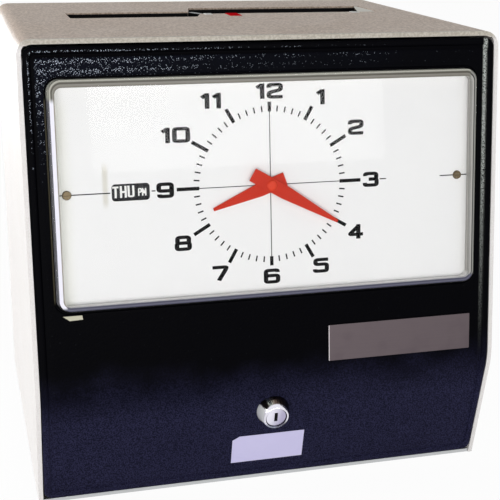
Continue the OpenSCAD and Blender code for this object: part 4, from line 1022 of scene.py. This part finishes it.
def stroke(line, width, closed=False):
    """Left and right edges of a line of that width: line +- width / 2 times the mitred normal."""
    if closed:
        ahead = np.roll(line, -1, axis=0) - line
        behind = line - np.roll(line, 1, axis=0)
    else:
        steps = np.diff(line, axis=0)
        ahead = np.concatenate([steps, steps[-1:]])
        behind = np.concatenate([steps[:1], steps])
    ahead /= np.linalg.norm(ahead, axis=1, keepdims=True)
    behind /= np.linalg.norm(behind, axis=1, keepdims=True)
    first = np.stack([-behind[:, 1], behind[:, 0]], -1)
    second = np.stack([-ahead[:, 1], ahead[:, 0]], -1)
    middle = first + second
    middle /= np.maximum((middle * first).sum(-1, keepdims=True), 0.3)
    return np.stack([line + middle * width / 2, line - middle * width / 2], 1)


print("a square of side 2 has", len(soften([[-1, -1], [1, -1], [1, 1], [-1, 1]], 0.5, True)), "points")


# %% Many strokes as one piece
def printed(name, strokes, place, material, body, height=0.06):
    """One piece of many strokes, each a closed flat bar of the given height in millimetres.
    place turns (u, v, h) in millimetres into points in metres."""
    points, faces, total = [], [], 0
    for edges, closed in strokes:
        count = len(edges)
        low = place(edges[..., 0], edges[..., 1], 0.0)
        high = place(edges[..., 0], edges[..., 1], height)
        loop = np.stack([low[:, 0], low[:, 1], high[:, 1], high[:, 0]], 1)
        points.append(loop.reshape(-1, 3))
        faces.append(quads(count, 4, closed, True) + total)
        if not closed:
            ends = np.array([[3, 2, 1, 0], [0, 1, 2, 3]]) + [[0], [(count - 1) * 4]]
            faces.append(ends + total)
        total += count * 4
    mesh = mesh_from(name, np.concatenate(points), np.concatenate(faces))
    face_outwards(mesh)
    return piece(name, mesh, material, body, angle=20)


# %% [markdown]
# A thin black strip stands in the slot where the card slides, as painted shade on its walls. It covers the
# cut edge of the case on the long sides, and leaves the step and the right end bare. It could be cut from a
# copy of the case, but a strip is a line with a width, so the dial's strokes make it too.

# %% Black strip of painted shade in the slot
TOP_Z = 258.0
SLOT_X = (-92.4, -17.0, -12.0, 102.0)
SLOT_Y = (KNEE_Y + 120.8, KNEE_Y + 137.0, KNEE_Y + 149.0, KNEE_Y + 172.0)
LINER_GAP = 0.17
LINER_T = 0.2
LINER_DROP = 3.6
near, far = LINER_GAP, -LINER_GAP
lane_end = SLOT_X[3] - 1.4
front_run = np.array(
    [[SLOT_X[1] - 0.3, SLOT_Y[2] + far], [SLOT_X[0] + near, SLOT_Y[2] + far],
     [SLOT_X[0] + near, SLOT_Y[0] + near], [SLOT_X[1], SLOT_Y[0] + near],
     [SLOT_X[2], SLOT_Y[1] + near], [lane_end, SLOT_Y[1] + near]]
)
rear_run = np.array([[SLOT_X[2] + 0.4, SLOT_Y[3] + far], [lane_end, SLOT_Y[3] + far]])


def in_slot(u, v, h):
    """A place in the slot: h runs up from the foot of the black strip."""
    return stack(u, v, TOP_Z - LINER_DROP + h)


# The black strips stand for the shade on the slot's walls: painted shade.
for name, run, height in (("slot_shade_strip", front_run, 2.8), ("slot_shade_strip_rear", rear_run, 2.5)):
    printed(name, [(stroke(run, LINER_T), False)], in_slot, BLACK, "clock_body", height)
print("lining from", TOP_Z - LINER_DROP, "up")

# %% [markdown]
# Two small plates show in the slot: a grey shim across its step, and a pale ramp at the right end of the
# card's lane that slopes down a little. The ramp's pale colour is a painted highlight, where the slot's
# right end catches the light. Both are flat, so each is a slab with four corners, which is all that shows of
# them.


# %% Shim and ramp at the ends of the card's lane
def on_top(x, y, h):
    """A place on the case: x, y and the height over its top."""
    return stack(x, y, TOP_Z + h)


SHIM = [[-17.0, 40.2], [-12.6, 29.6], [-9.4, 30.4], [-13.8, 41.4]]
shim = slab("slot_shim", SHIM, -0.42, -0.18, on_top)
piece("slot_shim", shim, GREY, "clock_body")

RAMP_FALL = 0.05


def ramp_place(x, y, h):
    """A place on the ramp, which falls by RAMP_FALL of the way from the slot's right end."""
    return on_top(x, y, h - (SLOT_X[3] - x) * RAMP_FALL)


RAMP = [[90.5, 29.4], [101.7, 29.4], [101.7, 63.6], [100.0, 63.6]]
ramp = slab("slot_end_ramp", RAMP, -0.36, -0.06, ramp_place)
# Its pale colour is a painted highlight of the lit right end of the slot.
piece("slot_end_ramp", ramp, RAMP_HIGHLIGHT_WHITE, "clock_body")
print("shim and ramp")

# %% [markdown]
# The dial's numerals and the drums' letters are squared, with soft corners. A font could set
# them, but fonts differ from one computer to the next, so each is a few centre lines, as a
# sign painter draws them.

# %% Figures
# Each figure is a list of lines on a field 5.2 wide and 6.4 high; True closes the line.
FIGURES = {
    "0": [([[-2.7, -3.2], [2.7, -3.2], [2.7, 3.2], [-2.7, 3.2]], True)],
    "1": [([[0.9, 4.0], [0.9, -4.0]], False), ([[-1.35, 1.75], [0.9, 3.35]], False)],
    "2": [([[-2.5, 1.7], [-2.5, 3.2], [2.5, 3.2], [2.5, 0.5], [-2.5, -0.9], [-2.5, -3.2], [3.3, -3.2]],
           False)],
    "3": [([[-2.5, 1.9], [-2.5, 3.2], [2.4, 3.2], [2.4, 0.1], [-0.9, 0.1]], False),
          ([[-0.9, 0.1], [2.6, 0.1], [2.6, -3.2], [-2.6, -3.2], [-2.6, -1.8]], False)],
    "4": [([[1.5, 3.3], [-2.7, -1.5], [3.4, -1.5]], False), ([[1.3, 4.0], [1.3, -4.0]], False)],
    "5": [([[3.2, 3.2], [-2.4, 3.2], [-2.4, 0.6], [2.6, 0.6], [2.6, -3.2], [-2.6, -3.2], [-2.6, -2.0]],
           False)],
    "6": [([[-2.6, 0.3], [2.6, 0.3], [2.6, -3.2], [-2.6, -3.2]], True),
          ([[-2.6, -1.4], [-2.6, 3.2], [2.4, 3.2], [2.4, 2.0]], False)],
    "7": [([[-3.3, 3.2], [2.6, 3.2], [2.4, 2.2], [-0.7, -4.0]], False)],
    "8": [([[-2.35, 0.1], [2.35, 0.1], [2.35, 3.2], [-2.35, 3.2]], True),
          ([[-2.6, 0.1], [2.6, 0.1], [2.6, -3.2], [-2.6, -3.2]], True)],
    "9": [([[-2.6, -0.3], [2.6, -0.3], [2.6, 3.2], [-2.6, 3.2]], True),
          ([[2.6, 1.4], [2.6, -3.2], [-2.4, -3.2], [-2.4, -2.0]], False)],
    "T": [([[-3.2, 3.2], [3.2, 3.2]], False), ([[0, 3.2], [0, -4.0]], False)],
    "H": [([[-2.4, 4.0], [-2.4, -4.0]], False), ([[2.4, 4.0], [2.4, -4.0]], False),
          ([[-2.4, 0], [2.4, 0]], False)],
    "U": [([[-2.4, 4.0], [-2.4, -3.2], [2.4, -3.2], [2.4, 4.0]], False)],
    "P": [([[-2.4, -4.0], [-2.4, 3.2], [2.4, 3.2], [2.4, -0.2], [-2.4, -0.2]], False)],
    "M": [([[-3.0, -4.0], [-3.0, 3.4], [0, -1.6], [3.0, 3.4], [3.0, -4.0]], False)],
}
FIGURE_WIDTH = {"1": 4.0, "0": 7.2, "M": 7.8}
COMMON_WIDTH = 6.9
CORNER_REACH = 1.1
print("figures:", "".join(FIGURES))


# %% Rows of figures
def divided(line, parts, closed):
    """Each stretch of a line cut into equal parts, so that it can bend round a drum."""
    ends = np.roll(line, -1, axis=0) if closed else line[1:]
    starts = line if closed else line[:-1]
    share = np.arange(parts)[:, None] / parts
    fine = starts[:, None] + (ends - starts)[:, None] * share
    fine = fine.reshape(-1, 2)
    return fine if closed else np.concatenate([fine, line[-1:]])


def lettering(text, centre, wide, tall, weight, spread, gap=0.75, parts=1):
    """Strokes of a row of figures, squeezed to wide and tall, with its middle at centre.
    Level bars are weight thick, and upright stems spread times that."""
    widths = np.array([FIGURE_WIDTH.get(c, COMMON_WIDTH) for c in text])
    starts = np.concatenate([[0], np.cumsum(widths + gap)[:-1]])
    middles = starts + widths / 2 - (starts[-1] + widths[-1]) / 2
    squeeze = np.array([wide / spread, tall])
    made = []
    for letter, middle in zip(text, middles):
        for line, closed in FIGURES[letter]:
            bent = soften(np.array(line) * squeeze, CORNER_REACH * squeeze.min(), closed)
            edges = stroke(divided(bent, parts, closed), weight, closed) * [spread, 1]
            made.append((edges + [middle * wide + centre[0], centre[1]], closed))
    return made


print("strokes in 12:", len(lettering("12", (0, 0), 1, 1, 1, 1)))

# %% [markdown]
# Sixty ticks, twelve numerals, a cross of hairlines and four short lines at the sides make
# up the dial's print. All of it is one piece, because it was printed in one go.

# %% Ticks, numerals and lines of the dial
NUMERAL_AT = {
    "12": (0, 49.7), "1": (28.4, 45.7), "2": (48.4, 28.8), "3": (57.1, 0), "4": (48.1, -28.5),
    "5": (28, -46), "6": (0, -50), "7": (-28.7, -46.3), "8": (-48.5, -28.7), "9": (-57.2, 0),
    "10": (-51, 28.5), "11": (-31.7, 45.5),
}
TICK_IN = 39.0
# How far an hour's tick reaches beyond TICK_IN, as a share of it, by the hour modulo 6
TICK_SHARE = {0: 0.13, 1: 0.21, 2: 0.257, 3: 0.31, 4: 0.257, 5: 0.21}
MINUTE_SHARE = 0.08
HOUR_TICK_W = 1.9
MINUTE_TICK_W = 0.75
CROSS_W = 0.42
SIDE_LINE_W = 0.55
SIDE_LINES = ((-118, -86), (-64.4, -62.4), (62.3, 66), (98, 118))
PRINT_GAP = 0.01


def ray(turn, near, far, width):
    """A bar from near to far along a ray turned clockwise from the top, in degrees."""
    a = math.radians(turn)
    return stroke(np.array([[math.sin(a), math.cos(a)]]) * [[near], [far]], width), False


def bar(x0, y0, x1, y1, width):
    """A straight bar between two points."""
    return stroke(np.array([[x0, y0], [x1, y1]], float), width), False


marks = []
for text, at in NUMERAL_AT.items():
    marks += lettering(text, at, wide=1.31, tall=1.0, weight=1.8, spread=1.38)
marks += [ray(30 * h, TICK_IN, TICK_IN * (1 + TICK_SHARE[h % 6]), HOUR_TICK_W) for h in range(12)]
marks += [ray(6 * m, TICK_IN, TICK_IN * (1 + MINUTE_SHARE), MINUTE_TICK_W) for m in range(60) if m % 5]
marks += [bar(0, -TICK_IN, 0, TICK_IN, CROSS_W), bar(-TICK_IN, 0, TICK_IN, 0, CROSS_W)]
marks += [bar(x0, 0, x1, 0, SIDE_LINE_W) for x0, x1 in SIDE_LINES]


def on_dial(u, v, h):
    """A place on the dial's face, from its centre, PRINT_GAP over the paint."""
    return upper(u, DIAL_S + v, DIAL_OUT + PRINT_GAP + h)


printed("dial_print", marks, on_dial, INK, "clock_body", 0.05)
print("printed strokes:", len(marks))

# %% [markdown]
# The calendar's opening has a pressed edge, rolled over to the front. Five rounded outlines,
# each with its own size and height, make the roll, in the way the rings made the front.

# %% Edge of the calendar opening
CALENDAR_X = -75.3
CALENDAR_W = 19.9
CALENDAR_H = 8.9
CALENDAR_R = 1.9
# Each row is growth over the opening, and height over the dial.
ROLL_PROFILE = ((0, -0.2), (0, 0.03), (0.2, 0.06), (0.9, 0.02), (0.9, -0.2))


def roll_ring(grow, height):
    """The opening's outline made larger by grow on every side, at a height."""
    ring = rounded(CALENDAR_W + 2 * grow, CALENDAR_H + 2 * grow, CALENDAR_R + grow)
    return on_dial(CALENDAR_X + ring[:, 0], ring[:, 1], height)


roll = np.stack([roll_ring(grow, height) for grow, height in ROLL_PROFILE])
lip_mesh = mesh_from("calendar_lip", roll.reshape(-1, 3), quads(len(roll), roll.shape[1], True, True))
face_outwards(lip_mesh)
piece("calendar_lip", lip_mesh, DIAL, "clock_body")
print("calendar opening:", CALENDAR_W, "by", CALENDAR_H)

# %% [markdown]
# The day and the half of the day are read through that opening. Flat letters would leave
# the drums, on which they ride, so they are wrapped round them: height becomes an angle.

# %% Words on the drums
DRUM_R = 13.0
DRUM_GAP = 0.4
DRUM_OUT = DIAL_OUT - DIAL_T - DRUM_R - DRUM_GAP


def on_drum(u, v, h):
    """A place on a drum: out = axis + (r + h) cos(v / r), s = centre + (r + h) sin(v / r)."""
    angle = np.asarray(v) / DRUM_R
    reach = DRUM_R + PRINT_GAP + h
    return upper(u, DIAL_S + reach * np.sin(angle), DRUM_OUT + reach * np.cos(angle))


day = lettering("THU", (-78.95, 0.1), wide=0.51, tall=0.78, weight=0.95, spread=1.2, gap=1.0, parts=6)
half_day = lettering("PM", (-69.1, -0.3), wide=0.27, tall=0.52, weight=0.62, spread=1.2, gap=0.9, parts=6)
printed("day_word", day, on_drum, MARK_WHITE, "day_drum_body")
printed("half_day_word", half_day, on_drum, MARK_WHITE, "half_day_drum_body")
print("words on the drums")

# %% [markdown]
# ## Hands
# The hands are pressed from thin sheet and painted. The minute hand lies over the hour hand,
# and a small domed cap closes the arbor. The cap is a profile turned about its axis.


# %% Hands and cap
def turned(name, profile, place, steps):
    """A profile of (radius, height) turned about its axis: (r cos a, r sin a, h). The first
    and last radius may be 0; equal points there are merged, which closes the poles."""
    a = np.arange(steps) / steps * 2 * math.pi
    r, h = np.array(profile, float).T
    points = place(r[:, None] * np.cos(a), r[:, None] * np.sin(a), h[:, None] + 0 * a)
    mesh = mesh_from(name, points.reshape(-1, 3), quads(len(profile), steps, False, True))
    face_outwards(mesh)
    return mesh


def dome(radius, low, high):
    """A quarter of an ellipse, from the rim at low to the pole at high, in nine points."""
    a = np.linspace(0, math.pi / 2, 9)
    return np.stack([radius * np.cos(a), low + (high - low) * np.sin(a)], -1)


dress("hour_hand", HANDS, 0.12)
dress("minute_hand", HANDS, 0.12)
CAP_OUT = DIAL_OUT + 3.3
CAP_R = 2.9
cap_foot = [[0, CAP_OUT + 0.02], [CAP_R - 0.15, CAP_OUT + 0.02]]
cap_profile = np.concatenate([cap_foot, dome(CAP_R, CAP_OUT + 0.25, CAP_OUT + 1.1)])
cap = turned("hand_cap.domed", cap_profile, lambda u, v, h: upper(u, DIAL_S + v, h), 64)
piece("hand_cap.domed", cap, CAP_RED_HIGHLIT, "minute_body", ("hand_cap",))
print("hands and cap")

# %% [markdown]
# ## Lens
# The lens is one clear moulding that stands a little proud of the front. Its face is flat and
# its rim is a thick wall, which is why the rim looks darker and the face almost vanishes. The
# solid gives the face; the rim's skin is made of rings again, because its lines need to know
# how far round the section they are.

# %% Lens face and rim
dress("dial_lens", CLEAR, 0.4, 3)
dress("lens_clips", ZINC, 0.2)

# Each row is inset from the window, height over the front, and millimetres along the lines.
RIM_PROFILE = np.array(
    [[-3.0, -4.62, 0.0], [-3.0, -3.3, 0.0], [0.28, -3.2, 0.0], [0.28, 1.4, 0.1], [0.38, 1.8, 0.3],
     [0.7, 2.0, 0.7], [0.9, 2.02, 0.9], [1.1, 2.02, 1.1], [1.3, 2.02, 1.3], [1.7, 2.02, 1.7],
     [1.9, 2.02, 1.9], [2.1, 2.02, 2.1], [2.5, 2.02, 2.5], [2.7, 2.02, 2.7], [2.9, 1.98, 2.95],
     [2.9, 0.3, 3.0], [2.55, 0.02, 3.1], [2.52, -0.8, 3.9], [2.52, -1.2, 4.3], [2.52, -1.9, 5.0],
     [2.52, -2.2, 5.3], [2.52, -3.2, 6.3], [2.52, -3.6, 6.7], [2.52, -4.62, 7.7]]
)


def rim_ring(inset):
    """The window's outline moved in by inset: 1 mm more on the left, where x + 60 is below 0,
    and one and a half times as deep at the top, above z = 190."""
    x, z = window_ring(-inset).T
    at_left = np.clip((-60 - x) / 50, 0, 1)
    at_top = np.clip((z - 190) / 40, 0, 1)
    return x + at_left * 1.0, z - at_top * max(inset - 0.3, 0) * 0.5


rim_rings = np.stack([front_at(*rim_ring(inset), out) for inset, out, _ in RIM_PROFILE])
rim_faces = quads(len(RIM_PROFILE), rim_rings.shape[1], True, True)
rim_mesh = mesh_from("dial_lens.rim", rim_rings.reshape(-1, 3), rim_faces)
write_values(rim_mesh, "line", np.repeat(RIM_PROFILE[:, 2], rim_rings.shape[1]))
face_outwards(rim_mesh)
piece("dial_lens.rim", rim_mesh, RIM, "front")
print("lens rim:", len(rim_mesh.polygons), "faces")

# %% [markdown]
# ## Plate, label and lock
# The plate and the label are bare. The lock's collar is turned and polished brass under
# chrome, so it mirrors the room; the plug inside turns with the key. Their solids are true to
# size and are dressed as they are. The bottom of the keyway gets a black slab, because no
# light reaches it on the real lock.

# %% Plate, label, lock
dress("nameplate", PLATE, 0.2, 3)
dress("blank_label", LABEL, 0.05)
dress("lock_barrel", COLLAR, 0.25, 3)
dress("lock_nut", ZINC, 0.3)
dress("lock_plug", PLUG, 0.15)
KEY_HALF_W = 0.88
KEY_HALF_H = 2.83
key_signs = np.array([[-1, -1], [1, -1], [1, 1], [-1, 1]])
key_corners = key_signs * [KEY_HALF_W, KEY_HALF_H] + [0, LOCK_S]
shade = slab("keyway_shade", key_corners, 5.2, 5.7, lower)
piece("keyway_shade", shade, BLACK, body_of["lock_plug"])
dress("lock_cam", ZINC, 0.2)
print("lock")

# %% [markdown]
# ## Works behind the dial
# The works show when the front is open. They are drawn part by part, so each keeps its
# solid's form and gets the finish of its own kind: brass wheels, plated plates, a wound coil,
# an inked ribbon.

# %% Movement and printer
for node in ("left_side_frame", "right_side_frame", "type_wheel_bracket", "ribbon_plate", "hammer_bracket",
             "solenoid_bracket", "switch_bracket"):
    dress(node, GREY, 0.2)
for node in ("chute_front_plate", "chute_rear_plate", "card_guide", "movement_plate", "movement_rear_plate",
             "motor", "calendar_bracket", "calendar_shaft", "type_wheel_shaft", "hammer_shaft", "hinge_pins",
             "hammer", "solenoid_plunger", "card_lever"):
    dress(node, ZINC, 0.15)
for node in ("movement_pillars", "minute_arbor", "hour_wheel", "minute_wheel", "motor_pinion",
             "minute_type_wheel", "hour_type_wheel", "date_type_wheel"):
    dress(node, BRASS, 0.08, 1)
for node in ("supply_spool", "takeup_spool"):
    dress(node, SPOOL, 0.2)
dress("ribbon", RIBBON, 0)
dress("solenoid", COIL, 0.2)
dress("microswitch", BLACK, 0.3)
dress("hammer_spring", ZINC, 0)

# %% [markdown]
# ## Floor, light and camera
# The clock stands on a plain pale floor. A white floor that is lit to white would throw that
# light back on the clock, so it shows white only to the camera, in mirrors and through clear
# pieces, and is a matt pale grey for all other light. A small share of that grey shows to the
# camera too, and carries the shadow.


# %% Floor
def seen_rays(board):
    """1 for rays from the camera, from a mirror or through glass, else 0."""
    kinds = ("Is Camera Ray", "Is Glossy Ray", "Is Transmission Ray")
    camera_ray, glossy_ray, through_ray = [board.node("ShaderNodeLightPath", out=kind) for kind in kinds]
    return camera_ray + glossy_ray + through_ray > 0.5


WHITE_SHARE = 0.96


def floor_material():
    """Pale grey for the light, and a white backdrop that keeps the object's shadow."""
    board = Board("floor_white")
    soft = board.node("ShaderNodeBsdfDiffuse", None, {"Color": (0.86, 0.86, 0.86, 1.0)})
    white = board.node("ShaderNodeEmission", None, {"Strength": 1.0})
    both = board.node("ShaderNodeMixShader", None, {0: seen_rays(board) * WHITE_SHARE, 1: soft, 2: white})
    board.node("ShaderNodeOutputMaterial", None, {"Surface": both})
    return board.material


FLOOR_HALF = 30.0
floor_points = np.array([[-1, -1, 0], [1, -1, 0], [1, 1, 0], [-1, 1, 0]]) * FLOOR_HALF
floor_mesh = mesh_from("floor", floor_points, np.array([[0, 1, 2, 3]]))
floor_mesh.materials.append(floor_material())
floor = bpy.data.objects.new("floor", floor_mesh)
bpy.context.scene.collection.objects.link(floor)
print("floor placed")

# %% [markdown]
# A broad soft lamp stands low behind the camera to its left, and a weaker one higher to its
# right. One more stands at each side and one behind. The last two stand lower than the
# clock's top, which would mirror them at a flat angle. With a quiet even sky they keep the
# colours about as they are written, from every side.


# %% Lights and sky
def soft_light(name, at, aim, width, height, power):
    """An area light at a point, turned to look at another, sizes in metres, power in watts."""
    data = bpy.data.lights.new(name, "AREA")
    data.shape = "RECTANGLE"
    data.size = width
    data.size_y = height
    data.energy = power
    made = bpy.data.objects.new(name, data)
    bpy.context.scene.collection.objects.link(made)
    sight = (Vector(aim) - Vector(at)).normalized()
    made.matrix_world = Matrix.Translation(at) @ sight.to_track_quat("-Z", "Y").to_matrix().to_4x4()


soft_light("key_front", (-0.45, -1.36, 0.18), (0, -0.1, 0.15), 0.9, 0.3, 7.0)
soft_light("fill_front", (0.30, -1.35, 0.40), (0, -0.1, 0.12), 0.5, 0.4, 3.0)
soft_light("side_left", (-1.25, 0.05, 0.50), (0, 0, 0.2), 0.5, 0.4, 7.2)
soft_light("side_right", (1.30, 0.30, 0.18), (0, 0, 0.14), 0.5, 0.2, 5.0)
soft_light("back_fill", (-0.50, 1.30, 0.18), (0, 0, 0.14), 0.6, 0.2, 4.0)

SKY_LEVEL = 0.32
sky = Board("sky", bpy.data.worlds)
level = seen_rays(sky) * (1 - SKY_LEVEL) + SKY_LEVEL
shine = sky.node("ShaderNodeBackground", None, {"Color": (1, 1, 1, 1), "Strength": level})
sky.node("ShaderNodeOutputWorld", None, {"Surface": shine})
bpy.context.scene.world = sky.material
print("lights:", len(bpy.data.lights))

# %% [markdown]
# The camera stands where the photograph was taken from. Its place and its three angles were
# worked out from the straight edges of the clock, which fixes them better than the eye does.

# %% Camera
LENS = 80.243
SENSOR = 36.0
PITCH = math.radians(17.5558)
TURN = math.radians(-15.2584)
ROLL = math.radians(0.7742)
STAND = (-0.16251, -0.64566, 0.3259)


def turn_matrix(axis, angle):
    """The rotation about one axis as a 3 by 3 array."""
    return np.array(Matrix.Rotation(angle, 3, axis))


base = np.array([[1, 0, 0], [0, 0, -1], [0, 1, 0]])
rows = turn_matrix("Z", ROLL) @ turn_matrix("X", PITCH) @ turn_matrix("Y", TURN) @ base
camera = bpy.data.objects.new("camera", bpy.data.cameras.new("camera"))
bpy.context.scene.collection.objects.link(camera)
camera.data.lens = LENS
camera.data.sensor_width = SENSOR
camera.data.clip_start = 0.01
camera.data.clip_end = 50.0
turned_to = Matrix(np.stack([rows[0], -rows[1], -rows[2]], axis=1).tolist()).to_4x4()
camera.matrix_world = Matrix.Translation(STAND) @ turned_to
bpy.context.scene.camera = camera
bpy.context.scene.view_settings.view_transform = "Standard"
print("camera at", STAND)
